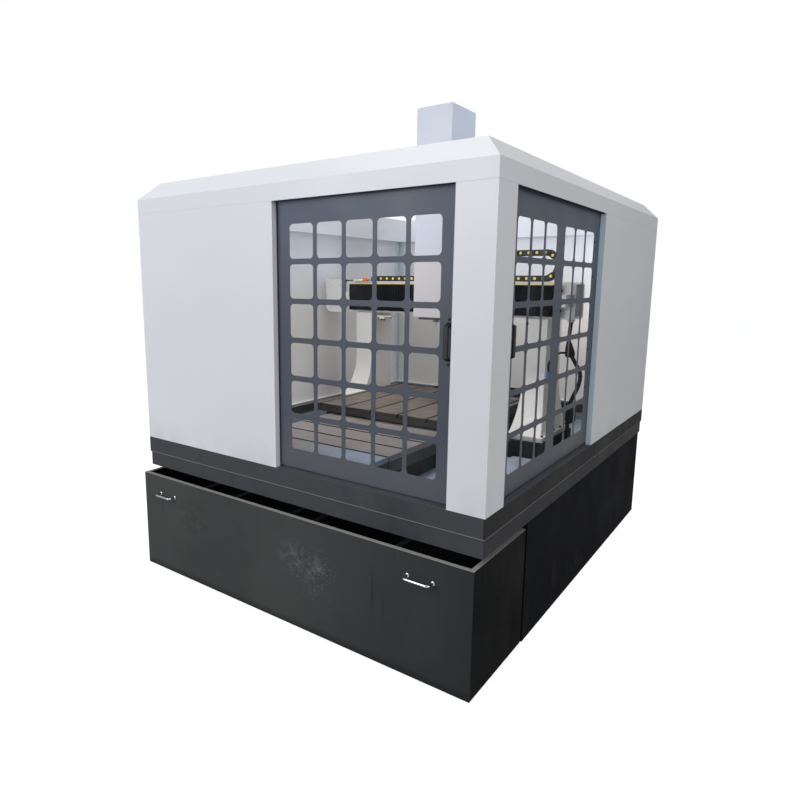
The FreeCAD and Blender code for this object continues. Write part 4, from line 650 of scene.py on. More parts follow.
# The nodes that each finish is laid on.
NODE_FINISH = {
    "panel_paint": "front_left_panel left_panel rear_panel right_panel corner_post roof_ring",
    "band_paint": "upper_band lower_band door_top_tracks",
    "skirt_paint": "skirt_left skirt_right skirt_rear",
    "drawer_paint": "drawer_tray drawer_grating",
    "door_paint": "front_door_leaf side_door_leaf",
    "clear_sheet": "front_door_pane side_door_pane",
    "handle_plastic": "front_door_handle side_door_handle",
    "glide_nylon": "front_door_glides side_door_glides",
    "bright_chrome": "drawer_handle_left drawer_handle_right",
    "ground_steel": "x_rails x_screw z_rails z_screw y_rails y_screw",
    "turned_steel": "spindle_shaft cutter drawer_axle_front drawer_axle_rear",
    "blackened_steel": "spindle_body",
    "pan_paint": "chip_pan",
    "cast_paint": "bed bed_feet",
    "cream_paint": "column_left column_right beam x_motor_cover x_saddle",
    "head_paint": "z_housing",
    "table_iron": "table table_carrier",
    "cover_steel": "way_cover_2 way_cover_3 way_cover_4",
    "cover_steel_front": "way_cover_1",
    "bellows_cloth": "x_bellows_left x_bellows_right rear_way_bellows",
    "chain_plastic": "drag_chain_upper drag_chain_lower",
    "motor_paint": "x_motor y_motor z_motor z_slide",
    "ribbed_plastic": "conduit",
}


# ---------------------------------------------------------------- making pieces
def ring_faces(rings, sides):
    """Quads between neighbouring rings of points, each ring closed on itself."""
    i, j = np.meshgrid(np.arange(rings - 1), np.arange(sides), indexing="ij")
    here, above, beside = i * sides, (i + 1) * sides, (j + 1) % sides
    return np.stack((here + j, here + beside, above + beside, above + j), -1).reshape(-1, 4)


def capped_faces(rings, sides):
    """The same quads, with one face over the first ring and one over the last."""
    last = (rings - 1) * sides
    return [*ring_faces(rings, sides).tolist(), list(range(sides)), list(range(last, last + sides))]


def shown(name, data):
    """A new object in the scene, with its data."""
    made = bpy.data.objects.new(name, data)
    bpy.context.scene.collection.objects.link(made)
    return made


def reshape(mesh, near, change):
    """Merges a mesh's points that are nearer than a distance, then makes a change to it."""
    shell = bmesh.new()
    shell.from_mesh(mesh)
    bmesh.ops.remove_doubles(shell, verts=shell.verts, dist=near)
    change(shell)
    shell.to_mesh(mesh)
    shell.free()


def outwards(shell):
    """Turns every face of a closed shell outwards."""
    bmesh.ops.recalc_face_normals(shell, faces=shell.faces)


def ease(made, width, segments, angle):
    """Rounds an object's edges that are sharper than an angle in degrees."""
    bevel = made.modifiers.new("Eased edges", "BEVEL")
    bevel.width = width
    bevel.segments = segments
    bevel.limit_method = "ANGLE"
    bevel.angle_limit = math.radians(angle)
    bevel.harden_normals = True


def stand_in(made, node):
    """Shows a piece in place of its node, on the node's body."""
    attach(made, BODY[node])
    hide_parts(node)


def piece(name, points, faces, finish, body, slot, node=None):
    """Puts points and faces into a new object, on a body and in place of a node if given."""
    mesh = bpy.data.meshes.new(name)
    faces = [list(map(int, face)) for face in faces]
    mesh.from_pydata(np.asarray(points).reshape(-1, 3).tolist(), [], faces)
    made = shown(name, mesh)
    reshape(mesh, 1e-7, outwards)
    mesh.shade_smooth()
    mesh.set_sharp_from_angle(angle=math.radians(38.0))
    mesh.materials.append(FINISHES[finish])
    if body:
        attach(made, body)
    if node:
        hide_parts(node)
    return made


def repeated(points, faces, places, turns=None):
    """The same small shape at many places.

    Each copy is the shape's points times its own turn, plus its place.
    """
    points, places = np.asarray(points, float).reshape(-1, 3), np.asarray(places, float)
    if turns is None:
        turns = np.eye(3)
    turns = np.broadcast_to(turns, (len(places), 3, 3))
    copies = np.einsum("nij,vj->nvi", turns, points) + places[:, None, :]
    every = [[i + k * len(points) for i in face] for k in range(len(places)) for face in faces]
    return copies.reshape(-1, 3), every


def joined(*shapes):
    """Several sets of points and faces as one set."""
    points, faces, count = [], [], 0
    for some, theirs in shapes:
        points.append(np.asarray(some).reshape(-1, 3))
        faces += [[int(i) + count for i in face] for face in theirs]
        count += len(points[-1])
    return np.concatenate(points), faces


def full_turn(sides):
    """Equal angles round a circle."""
    return np.arange(sides) * 2.0 * math.pi / sides


def revolved(profile, sides):
    """A turned shape: profile radius r at height z, swept round Z, closed by its own end points.

    The point at profile step v and turn angle a is (r cos a, r sin a, z).
    """
    r, z = np.asarray(profile, float).T[:, :, None]
    angle = full_turn(sides)
    points = np.stack((r * np.cos(angle), r * np.sin(angle), z + 0.0 * angle), -1)
    return points.reshape(-1, 3), capped_faces(len(profile), sides)


def tube(path, radius, sides, across):
    """A round tube along a path.

    Each point is the path's, plus radius times (cos a) of the direction across and (sin a)
    of the direction square to both; radius may change along the path.
    """
    path, across = np.asarray(path, float), np.asarray(across, float)
    ahead = np.gradient(path, axis=0)
    ahead /= np.linalg.norm(ahead, axis=1)[:, None]
    across = across[None] - ahead * (ahead @ across)[:, None]
    across /= np.linalg.norm(across, axis=1)[:, None]
    third = np.cross(ahead, across)
    angle = full_turn(sides)[None, :, None]
    radius = np.broadcast_to(np.asarray(radius, float), (len(path),))[:, None, None]
    ring = np.cos(angle) * across[:, None] + np.sin(angle) * third[:, None]
    return (path[:, None] + radius * ring).reshape(-1, 3), capped_faces(len(path), sides)


def rounded_block(low, high, softness=0.22, across=20, up=12):
    """A block with soft edges between two corners.

    A superellipsoid: each axis runs as the signed power (softness) of the sphere's own value.
    """
    low, high = np.asarray(low, float), np.asarray(high, float)
    lift = np.linspace(-0.5 * math.pi, 0.5 * math.pi, up)
    lift, turn = np.meshgrid(lift, full_turn(across), indexing="ij")
    waves = np.stack((np.cos(lift), np.cos(turn), np.sin(turn), np.sin(lift)))
    level, x, y, z = np.sign(waves) * np.abs(waves) ** softness
    shape = np.stack((level * x, level * y, z), -1)
    points = (low + high) / 2.0 + shape * (high - low) / 2.0
    return points.reshape(-1, 3), ring_faces(up, across)


def towards(direction):
    """The turn that takes +Z to a direction."""
    z = np.asarray(direction, float)
    x = np.cross((0.0, 1.0, 0.0) if abs(z[1]) < 0.9 else (1.0, 0.0, 0.0), z)
    x /= np.linalg.norm(x)
    return np.stack((x, np.cross(z, x), z), -1)


def screws(name, radius, height, places, out, finish, body, slot):
    """Screw heads that stand out from a face: a domed head that dips into its socket."""
    profile = (
        (1.0, 0.0), (1.0, 0.45), (0.9, 0.8), (0.62, 1.0), (0.42, 1.0), (0.38, 0.45),
    )
    head = revolved([(radius * r, height * z) for r, z in profile], 12)
    piece(name, *repeated(*head, places, towards(out)), finish, body, slot)


def eased(node, width, segments):
    """The node's own shape with its sharp edges rounded by a width."""
    source = frame["nodes"][node]
    mesh = source.data.copy()
    mesh.name = node + "_eased"
    reshape(mesh, 2e-6, lambda shell: bmesh.ops.join_triangles(
        shell, faces=shell.faces, angle_face_threshold=math.radians(0.5), angle_shape_threshold=math.pi,
    ))
    if "custom_normal" in mesh.attributes:
        mesh.attributes.remove(mesh.attributes["custom_normal"])
    made = shown(node + "_eased", mesh)
    ease(made, width, segments, 24.0)
    mesh.shade_smooth()
    stand_in(made, node)


# ---------------------------------------------------------------- pieces, one operator each
class MACHINE_OT_finishes(bpy.types.Operator):
    """Makes every finish and lays it on the frame's pieces"""

    bl_idname = "machine.finishes"
    bl_label = "Finishes"

    def execute(self, context):
        for maker, *given in FINISH_MAKERS:
            made = maker(*given)
            FINISHES[made.name] = made.material
        for finish, nodes in NODE_FINISH.items():
            for node in nodes.split():
                mesh = frame["nodes"][node].data
                mesh.materials.clear()
                mesh.materials.append(FINISHES[finish])
        return {"FINISHED"}


# Camera solved from the photograph: place, and the picture's right and down directions.
CAMERA_PLACE = (1.900, -3.213, 1.581)
CAMERA_RIGHT = np.array((0.7996, 0.6005, 0.0073))
CAMERA_DOWN = np.array((0.0992, -0.1321, -0.9862))
CAMERA_SHIFT = (0.0571, -0.0178)
GLOSSY_SHARE = 0.22
DIM_WHITE = (0.98, 0.985, 1.0, 1.0)
WHITE = (1.0, 1.0, 1.0, 1.0)
FLOOR_GREY = (0.40, 0.40, 0.40, 1.0)
FLOOR_GLOW = 0.86
# Each light's name, place, target, side, power in the panel, colour and spread in degrees.
LIGHTS = (
    ("front_light", (-2.6, -6.8, 3.7), (0.0, -0.6, 1.0), 4.2, "key", (0.975, 0.985, 1.0), 180.0),
    ("right_light", (6.2, -3.0, 3.5), (0.4, 0.0, 1.2), 3.6, "fill", (1.0, 0.975, 0.945), 180.0),
    ("top_light", (0.0, -0.2, 5.6), (0.0, 0.0, 0.8), 4.6, "top", (1.0, 0.985, 0.96), 180.0),
    ("roof_light", (0.0, 0.0, 3.7), (0.0, 0.0, 0.0), 1.0, "inner", (1.0, 0.99, 0.975), 38.0),
    ("lamp", (-0.38, -1.02, 1.55), (-0.3, 1.0, 1.50), 0.8, "lamp", (0.99, 0.99, 1.0), 180.0),
    ("rear_lamp", (0.84, 0.80, 1.62), (-0.3, 1.3, 1.45), 0.5, "rear_lamp", (0.99, 0.99, 1.0), 180.0),
    ("rear_light", (-4.6, 6.6, 3.9), (0.0, 0.6, 1.0), 4.2, "rear", (0.985, 0.99, 1.0), 180.0),
)


class MACHINE_OT_stage(bpy.types.Operator):
    """Sets the floor, the lights, the surroundings and the camera"""

    bl_idname = "machine.stage"
    bl_label = "Floor, lights and camera"

    def execute(self, context):
        settings = sizes("machine_stage")
        scene = context.scene
        scene.view_settings.view_transform = "Standard"
        self.camera(scene, settings.lens)
        self.floor(settings.floor / 2.0)
        self.surroundings(scene, settings.ambient)
        for name, place, target, side, power, colour, spread in LIGHTS:
            data = bpy.data.lights.new(name, "AREA")
            data.shape = "SQUARE"
            data.size = side
            data.energy = getattr(settings, power)
            data.color = colour
            data.spread = math.radians(spread)
            made = shown(name, data)
            back = np.array(place) - np.array(target)
            turn = Matrix(towards(back / np.linalg.norm(back)).tolist()).to_4x4()
            made.matrix_world = Matrix.Translation(place) @ turn
            made.visible_camera = False
        return {"FINISHED"}

    def camera(self, scene, lens):
        data = bpy.data.cameras.new("view")
        data.lens = lens
        data.sensor_width = 36.0
        data.sensor_fit = "HORIZONTAL"
        data.shift_x, data.shift_y = CAMERA_SHIFT
        data.clip_end = 200.0
        back = np.cross(CAMERA_DOWN, CAMERA_RIGHT)
        turn = Matrix(np.stack((CAMERA_RIGHT, -CAMERA_DOWN, back), -1).tolist()).to_4x4()
        scene.camera = shown("view", data)
        scene.camera.matrix_world = Matrix.Translation(CAMERA_PLACE) @ turn

    def floor(self, reach):
        """Plain pale floor: diffuse, so it keeps the shadow, plus a glow that only seen rays meet."""
        mesh = bpy.data.meshes.new("floor")
        corners = [(-reach, -reach, 0), (reach, -reach, 0), (reach, reach, 0), (-reach, reach, 0)]
        mesh.from_pydata(corners, [], [(0, 1, 2, 3)])
        made = shown("floor", mesh)
        material = bpy.data.materials.new("pale_floor")
        nodes = Nodes(material)
        diffuse = nodes.node("BsdfDiffuse", {"Color": FLOOR_GREY})
        glow = nodes.node("Emission", {"Strength": nodes.product(seen_rays(nodes), FLOOR_GLOW)})
        both = nodes.node("AddShader", {0: diffuse.outputs["BSDF"], 1: glow.outputs["Emission"]})
        nodes.node("OutputMaterial", {"Surface": both.outputs["Shader"]})
        mesh.materials.append(material)
        made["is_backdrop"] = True

    def surroundings(self, scene, ambient):
        """Dim for the machine's own light, and white to rays that are seen."""
        scene.world = bpy.data.worlds.new("surroundings")
        nodes = Nodes(scene.world)
        dim = nodes.node("Background", {"Color": DIM_WHITE, "Strength": ambient})
        white = nodes.node("Background", {"Color": WHITE})
        shares = {0: seen_rays(nodes), 1: dim.outputs["Background"], 2: white.outputs["Background"]}
        mixed = nodes.node("MixShader", shares)
        nodes.node("OutputWorld", {"Surface": mixed.outputs["Shader"]})


def seen_rays(nodes):
    """1 for a ray from the camera or through clear sheet, and a share for a mirrored one."""
    path = nodes.node("LightPath", {}).outputs
    straight = nodes.maths("MAXIMUM", path["Is Camera Ray"], path["Is Transmission Ray"])
    mirrored = nodes.product(path["Is Glossy Ray"], GLOSSY_SHARE)
    return nodes.maths("MAXIMUM", straight, mirrored)


# Control points of the conduit from the beam to the pan, and of the lead to the switch.
CONDUIT_ROUTE = (
    (0.7700, 0.4110, 1.3570),
    (0.7720, 0.3780, 1.2800),
    (0.7830, 0.3550, 1.2050),
    (0.8220, 0.3370, 1.1400),
    (0.8660, 0.3380, 1.0750),
    (0.8620, 0.3200, 1.0000),
    (0.8300, 0.3200, 0.9300),
    (0.8020, 0.3470, 0.8600),
    (0.7897, 0.3900, 0.7400),
    (0.7897, 0.3972, 0.6280),
)
BRANCH_ROUTE = (
    (0.7800, 0.3420, 1.1800),
    (0.7690, 0.2750, 1.1950),
    (0.7635, 0.1950, 1.1850),
    (0.7635, 0.1150, 1.1650),
    (0.7635, 0.0780, 1.1420),
    (0.7635, 0.0860, 1.1200),
    (0.7635, 0.0900, 1.0980),
)
LEAD_RADIUS = 0.006
# Rubber boot on the conduit: its axis, and radius at height from the lower end up.
BOOT_TOP = np.array((0.7755, 0.372, 1.243))
BOOT_BOTTOM = np.array((0.7950, 0.351, 1.162))
BOOT_PROFILE = (
    (0.0105, 0.088), (0.014, 0.084), (0.019, 0.066), (0.025, 0.040),
    (0.028, 0.018), (0.027, 0.006), (0.022, 0.0), (0.010, -0.002),
)


class MACHINE_OT_conduit(bpy.types.Operator):
    """Hangs the ribbed conduit between the beam and the pan"""

    bl_idname = "machine.conduit"
    bl_label = "Conduit"

    def execute(self, context):
        settings = sizes("machine_conduit")
        path, run = route_points("conduit_route", CONDUIT_ROUTE)
        steps_per_rib, plain_end = 4, 0.012
        place = np.linspace(0.0, run[-1], int(run[-1] / settings.rib_pitch * steps_per_rib))
        path = np.stack([np.interp(place, run, path[:, k]) for k in range(3)], -1)
        wave = 0.5 - 0.5 * np.cos(place * 2.0 * math.pi / settings.rib_pitch)
        ends = np.minimum(place, run[-1] - place) < plain_end
        radius = settings.radius - settings.rib * np.where(ends, 0.0, np.sqrt(wave))
        ribbed = tube(path, radius, 20, (0.57, 0.82, 0.0))
        made = piece("conduit_ribbed", *ribbed, "ribbed_plastic", "frame", "conduit_black", "conduit")
        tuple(CONDUIT_ROUTE[0])
        self.boot()
        self.branch()
        return {"FINISHED"}

    def boot(self):
        """Rubber boot where the conduit's leads part: a cone that bulges and closes on the conduit."""
        points, faces = revolved(BOOT_PROFILE, 24)
        up = (BOOT_TOP - BOOT_BOTTOM) / np.linalg.norm(BOOT_TOP - BOOT_BOTTOM)
        points = points @ towards(up).T + BOOT_BOTTOM
        piece("conduit_boot", points, faces, "seal_rubber", "frame", "conduit_black")

    def branch(self):
        """A thin lead from the boot along the column's side to its proximity switch."""
        path, run = route_points("branch_route", BRANCH_ROUTE)
        round_lead = tube(path, LEAD_RADIUS, 12, (1.0, 0.0, 0.0))
        lead = piece("switch_lead", *round_lead, "seal_rubber", "frame", "conduit_black")
        end = np.array(BRANCH_ROUTE[-1])
        body = rounded_block(end - (0.008, 0.009, 0.030), end + (0.008, 0.009, 0.004), 0.3, 16, 8)
        switch = piece("column_switch", *body, "plug_blue", "frame", "motor_black")
        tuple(BRANCH_ROUTE[0])


def route_points(name, points):
    """Points along a NURBS curve of order 3 with these control points, and the way run to each."""
    data = bpy.data.curves.new(name, "CURVE")
    data.dimensions = "3D"
    data.resolution_u = 24
    spline = data.splines.new("NURBS")
    spline.points.add(len(points) - 1)
    for point, place in zip(spline.points, points):
        point.co = (*place, 1.0)
    spline.order_u = 3
    spline.use_endpoint_u = True
    carrier = shown(name, data)
    mesh = bpy.data.meshes.new_from_object(carrier)
    found = np.zeros(len(mesh.vertices) * 3)
    mesh.vertices.foreach_get("co", found)
    bpy.data.objects.remove(carrier)
    bpy.data.curves.remove(data)
    bpy.data.meshes.remove(mesh)
    path = found.reshape(-1, 3)
    steps = np.linalg.norm(np.diff(path, axis=0), axis=1)
    return path, np.concatenate(((0.0,), np.cumsum(steps)))


class MACHINE_OT_eased_sheet(bpy.types.Operator):
    """Rounds the folded edges of the enclosure and the gantry"""

    bl_idname = "machine.eased_sheet"
    bl_label = "Eased edges"

    def execute(self, context):
        for width, segments, nodes in (
            (0.0014, 2, "front_left_panel right_panel left_panel rear_panel corner_post roof_ring"),
            (0.0014, 2, "upper_band lower_band skirt_left skirt_right skirt_rear"),
            (0.0009, 2, "drawer_tray z_housing x_motor_cover table"),
            (0.0025, 2, "column_left column_right beam"),
            (0.0022, 3, "front_door_handle side_door_handle"),
        ):
            for node in nodes.split():
                eased(node, width, segments)
        return {"FINISHED"}


def window_loop(u0, u1, z0, z1, radius, chords):
    """A rectangle with round corners, counter-clockwise.

    Each corner is centre + radius (cos a, sin a) over a quarter turn; radius 0 puts the
    corner's points on the corner itself.
    """
    angle = np.linspace(0.0, 0.5 * math.pi, chords + 1)
    corners = (
        (u1 - radius, z0 + radius, -0.5), (u1 - radius, z1 - radius, 0.0),
        (u0 + radius, z1 - radius, 0.5), (u0 + radius, z0 + radius, 1.0),
    )
    arcs = []
    for u, z, start in corners:
        a = angle + start * math.pi
        arcs.append(np.stack((u + radius * np.cos(a), z + radius * np.sin(a)), -1))
    return np.concatenate(arcs)


def spans(first, last, gap, count):
    """Equal spans between two ends, with a gap between neighbours."""
    width = (last - first - gap * (count - 1)) / count
    starts = first + np.arange(count) * (width + gap)
    return np.stack((starts, starts + width), -1)


def windowed_sheet(u_ends, z_ends, u_spans, z_spans, radius, chords=7):
    """Flat sheet of cells, each a ring between a round-cornered window and its own rectangle.

    Neighbouring cells share their edges, halfway between two windows. Returns points in
    (u, z) and their quads, corner fans folded to a point.
    """
    cuts_u = np.concatenate(((u_ends[0],), (u_spans[1:, 0] + u_spans[:-1, 1]) / 2.0, (u_ends[1],)))
    cuts_z = np.concatenate(((z_ends[0],), (z_spans[1:, 0] + z_spans[:-1, 1]) / 2.0, (z_ends[1],)))
    points, faces = [], []
    count = 4 * (chords + 1)
    ring = np.arange(count)
    after = (ring + 1) % count
    quads = np.stack((ring, ring + count, after + count, after), -1)
    for i, (u0, u1) in enumerate(u_spans):
        for j, (z0, z1) in enumerate(z_spans):
            faces.append(quads + len(points) * 2 * count)
            hole = window_loop(u0, u1, z0, z1, radius, chords)
            edge = window_loop(*cuts_u[i:i + 2], *cuts_z[j:j + 2], 0.0, chords)
            points.append(np.concatenate((hole, edge)))
    return np.concatenate(points), np.concatenate(faces)


class Leaf:
    """A door leaf's ends along its doorway, its levels, and places on its face."""

    def __init__(self, side):
        self.side = side
        self.node = side + "_door_leaf"
        low, high = BOX[self.node]
        self.along = 0 if side == "front" else 1
        self.ends = (low[self.along], high[self.along])
        self.levels = (low[2], high[2])
        self.face = low[1] if side == "front" else high[0]
        self.out = np.array((0.0, -1.0, 0.0) if side == "front" else (1.0, 0.0, 0.0))

    def place(self, u, depth, z):
        """Points at u along the doorway, depth behind the face, at height z."""
        u, across, z = np.broadcast_arrays(u, self.face - self.out.sum() * depth, z)
        return np.stack((u, across, z) if self.along == 0 else (across, u, z), -1)

    def on_outline(self, edge):
        """Whether an edge lies on the leaf's outer rectangle."""
        places = [np.array(vert.co) for vert in edge.verts]
        limits = [(self.along, u) for u in self.ends] + [(2, z) for z in self.levels]
        return any(all(abs(p[axis] - limit) < 1e-5 for p in places) for axis, limit in limits)


def door_leaf(leaf, u_spans, z_spans, settings, depth):
    """The windowed sheet folded back round its outline, given its thickness and eased edges."""
    flat, faces = windowed_sheet(leaf.ends, leaf.levels, u_spans, z_spans, settings.corner)
    name = leaf.side + "_leaf_sheet"
    mesh = bpy.data.meshes.new(name)
    mesh.from_pydata(leaf.place(flat[:, 0], 0.0, flat[:, 1]).tolist(), [], faces.tolist())
    made = shown(name, mesh)

    def fold(shell):
        bmesh.ops.dissolve_degenerate(shell, edges=shell.edges, dist=1e-6)
        rim = [edge for edge in shell.edges if edge.is_boundary and leaf.on_outline(edge)]
        folded = bmesh.ops.extrude_edge_only(shell, edges=rim)
        moved = [v for v in folded["geom"] if isinstance(v, bmesh.types.BMVert)]
        bmesh.ops.translate(shell, verts=moved, vec=(leaf.out * -depth).tolist())

    reshape(mesh, 1e-6, fold)
    mesh.shade_smooth()
    wall = made.modifiers.new("Sheet", "SOLIDIFY")
    wall.thickness = settings.sheet
    wall.offset = -1.0
    wall.use_even_offset = True
    ease(made, 0.0007, 2, 40.0)
    mesh.materials.append(FINISHES["door_paint"])
    stand_in(made, leaf.node)


class MACHINE_OT_leaves(bpy.types.Operator):
    """Makes the two windowed door leaves with their seals and fasteners"""

    bl_idname = "machine.leaves"
    bl_label = "Door leaves"

    def execute(self, context):
        settings = sizes("machine_doors")
        front, side = Leaf("front"), Leaf("side")
        (f0, f1), (s0, s1), (z0, z1) = front.ends, side.ends, front.levels
        gap = settings.gap_across
        rows = spans(z0 + settings.bottom, z1 - settings.top, settings.gap_up, settings.rows)
        columns = spans(f0 + settings.front_left, f1 - settings.front_right, gap, 5)
        first, last = s0 + settings.side_front, s1 - settings.side_rear
        group = (last - first - settings.stile) / 2.0
        side_columns = np.concatenate((
            spans(first, first + group, gap, 3), spans(last - group, last, gap, 3),
        ))
        low, high = BOX[front.node]
        depth = float(high[1] - low[1])
        door_leaf(front, columns, rows, settings, depth)
        door_leaf(side, side_columns, rows, settings, depth)
        for leaf in (front, side):
            self.seals(leaf)
        self.pane_screws(side, side_columns)
        for leaf in (front, side):
            self.pull_screws(leaf)
        return {"FINISHED"}

    def seals(self, leaf):
        """Bulb seals, tubes of a slim oval section, down a leaf's closing edges."""
        inset, short, depth, radius = 0.010, 0.012, 0.0035, 0.0042
        z = np.linspace(leaf.levels[0] + short, leaf.levels[1] - short, 14)
        across = np.eye(3)[leaf.along]
        lips = [
            tube(leaf.place(u, depth, z), radius, 10, across)
            for u in (leaf.ends[0] + inset, leaf.ends[1] - inset)
        ]
        name = leaf.side + "_leaf_seal"
        piece(name, *joined(*lips), "seal_rubber", BODY[leaf.node], "handle_black")

    def pane_screws(self, leaf, columns):
        """Button heads that hold the side pane, down the rear edge and the middle stile."""
        clear = 0.0055
        edge, middle = columns[5, 1] + clear, columns[3, 0] - clear
        spots = [(edge, z) for z in (1.783, 1.613, 1.419, 1.246, 1.051)]
        spots += [(middle, 1.547), (middle, 1.457), (columns[0, 1] + 0.010, 1.42)]
        places = leaf.place(*np.insert(spots, 1, 0.0, axis=1).T)
        screws(
            "side_pane_screws", 0.0056, 0.0046, places, leaf.out,
            "blackened_steel", "side_door", "handle_black",
        )

    def pull_screws(self, leaf):
        """Button heads above and below a leaf's pull."""
        low, high = BOX[leaf.side + "_door_handle"]
        middle, clear = (low[leaf.along] + high[leaf.along]) / 2.0, 0.011
        places = leaf.place(middle, 0.0, np.array((low[2] - clear, high[2] + clear)))
        screws(
            leaf.side + "_pull_screws", 0.0058, 0.0034, places, leaf.out,
            "blackened_steel", BODY[leaf.node], "handle_black",
        )


def folded_section(lift, low, high, front, back, skin):
    """C-shaped section, open to the back, that steps inwards by lift.

    Outer corners run back-low, front-low, front-high, back-high, and the inner ones return
    a skin's thickness inside.
    """
    rear, face, foot, top = back + np.zeros_like(lift), front + lift, low + lift, high - lift
    corners = (
        (rear, foot), (face, foot), (face, top), (rear, top),
        (rear, top - skin), (face + skin, top - skin), (face + skin, foot + skin), (rear, foot + skin),
    )
    return np.stack([np.stack(c, -1) for c in corners], 1)


def pleat_lift(count, fold):
    """Place along a cover and step inwards, six points a pleat.

    From a narrow round crest down a flank to a narrow round valley, and up a flank again.
    """
    pattern = np.array((0.0, 0.16, 0.84, 1.0, 0.84, 0.16))
    spread = np.array((0.0, 0.07, 0.43, 0.5, 0.57, 0.93))
    place = (np.arange(count)[:, None] + spread[None]).reshape(-1)
    return np.append(place, count) / count, np.append(np.tile(pattern, count), 0.0) * fold


def pleat_faces(count):
    """Quads along a section of eight corners, with three quads over each end."""
    quads = ring_faces(count, 8).tolist()
    for first in (0, (count - 1) * 8):
        quads += [[first + i for i in ring] for ring in ((0, 1, 6, 7), (1, 2, 5, 6), (2, 3, 4, 5))]
    return quads


def stretch_along_beam(made, side):
    """Bakes a cover's place on the beam into its points."""
    low, high = BOX["x_bellows_" + side]
    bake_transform(made)


class MACHINE_OT_bellows(bpy.types.Operator):
    """Folds the bellows along the beam and behind the table"""

    bl_idname = "machine.bellows"
    bl_label = "Bellows"

    def execute(self, context):
        settings = sizes("machine_covers")
        shorter = int(settings.beam_pleats * 0.8)
        for side, pleats in (("left", settings.beam_pleats), ("right", shorter)):
            node = "x_bellows_" + side
            low, high = BOX[node]
            place, lift = pleat_lift(pleats, settings.beam_fold)
            section = folded_section(lift, low[2], high[2], low[1], high[1], settings.skin)
            x = low[0] + place * (high[0] - low[0])
            points = np.insert(section, 0, x[:, None], axis=-1)
            faces = pleat_faces(len(x))
            made = piece(node + "_folds", points, faces, "bellows_cloth", None, "bellows_black", node)
            stretch_along_beam(made, side)
        self.rear(settings)
        return {"FINISHED"}

    def rear(self, settings):
        """The rear cover: an upside-down U whose top and sides step in along the travel."""
        node = "rear_way_bellows"
        low, high = BOX[node]
        plate_thickness, plate_inset = 0.006, 0.002
        end = high[1] - plate_thickness
        place, lift = pleat_lift(settings.rear_pleats, settings.fold)
        y = low[1] + place * (end - low[1])
        side, top, skin = high[0] - lift, high[2] - lift, settings.skin
        foot = np.full_like(lift, low[2])
        corners = (
            (-side, foot), (-side, top), (side, top), (side, foot), (side - skin, foot),
            (side - skin, top - skin), (-side + skin, top - skin), (-side + skin, foot),
        )
        points = np.stack([np.stack((x, y, z), -1) for x, z in corners], 1)
        faces = pleat_faces(len(y))
        made = piece("rear_way_folds", points, faces, "bellows_cloth", None, "bellows_black", node)
        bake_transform(made)
        wide, base = high[0] - plate_inset, BOX["bed"][1][2]
        plate = rounded_block((-wide, end, base), (wide, high[1], high[2]), 0.08, 28, 12)
        piece("rear_bellows_end", *plate, "motor_paint", "frame", "bellows_black")


def chain_frame(distance, settings, low):
    """Middle and slope of the chain at a distance from its moving end.

    Straight along the upper run, then round a half circle, then back along the beam. A
    link's middle lies on the chord between its pins, so round the turn the radius is
    shortened by the cosine of half a link's angle.
    """
    straight = settings.turn - settings.moving
    around = math.pi * settings.radius
    chord = settings.radius * math.cos(settings.pitch / 2.0 / settings.radius)
    angle = np.clip((distance - straight) / settings.radius, 0.0, math.pi)
    past = np.maximum(distance - straight - around, 0.0)
    turning = (distance > straight) & (distance < straight + around)
    reach = np.where(turning, chord, settings.radius)
    back = settings.turn + reach * np.sin(angle) - past
    x = np.where(distance < straight, settings.moving + distance, back)
    return x, low + settings.radius + reach * np.cos(angle), -angle


def link_plate(length, height, thick, sides=10):
    """A side plate: a stadium outline, two half circles joined by straights, given a thickness."""
    half = length / 2.0 - height / 2.0
    angle = np.linspace(-0.5 * math.pi, 0.5 * math.pi, sides)
    right = np.stack((half + height / 2.0 * np.cos(angle), height / 2.0 * np.sin(angle)), -1)
    outline = np.concatenate((right, -right))
    profile = ((0.94, 0.0), (1.0, thick * 0.2), (1.0, thick * 0.8), (0.94, thick))
    points = np.stack([np.insert(outline * s, 1, y, axis=1) for s, y in profile])
    return points.reshape(-1, 3), capped_faces(len(profile), len(outline))


def chain_link_shape(settings, wide):
    """One link along X: two side plates and a cross bar above and below."""
    thick, bar, bar_half = 0.005, 0.009, 0.0021
    half = settings.width / 2.0 - (0.0 if wide else thick + 0.0005)
    points, faces = link_plate(settings.pitch + settings.height * 0.62, settings.height, thick)
    plates = [(points + (0.0, y, 0.0), faces) for y in (-half, half - thick)]
    level = settings.height / 2.0 - 0.0022
    bars = [
        rounded_block((-bar, -half + 0.001, z - bar_half), (bar, half - 0.001, z + bar_half), 0.3, 12, 6)
        for z in (-level, level)
    ]
    return joined(*plates, *bars)


# Height of the lower run's middle over its box, and where each run's blend with the carriage would start
# and end; the chain does not use them.
CHAIN_RISE = 0.019
UPPER_BLEND = ((1.06, 0, 1.7), (0.152, 0, 1.7))
LOWER_BLEND = ((-0.5, 0, 1.6), (1.712, 0, 1.6))


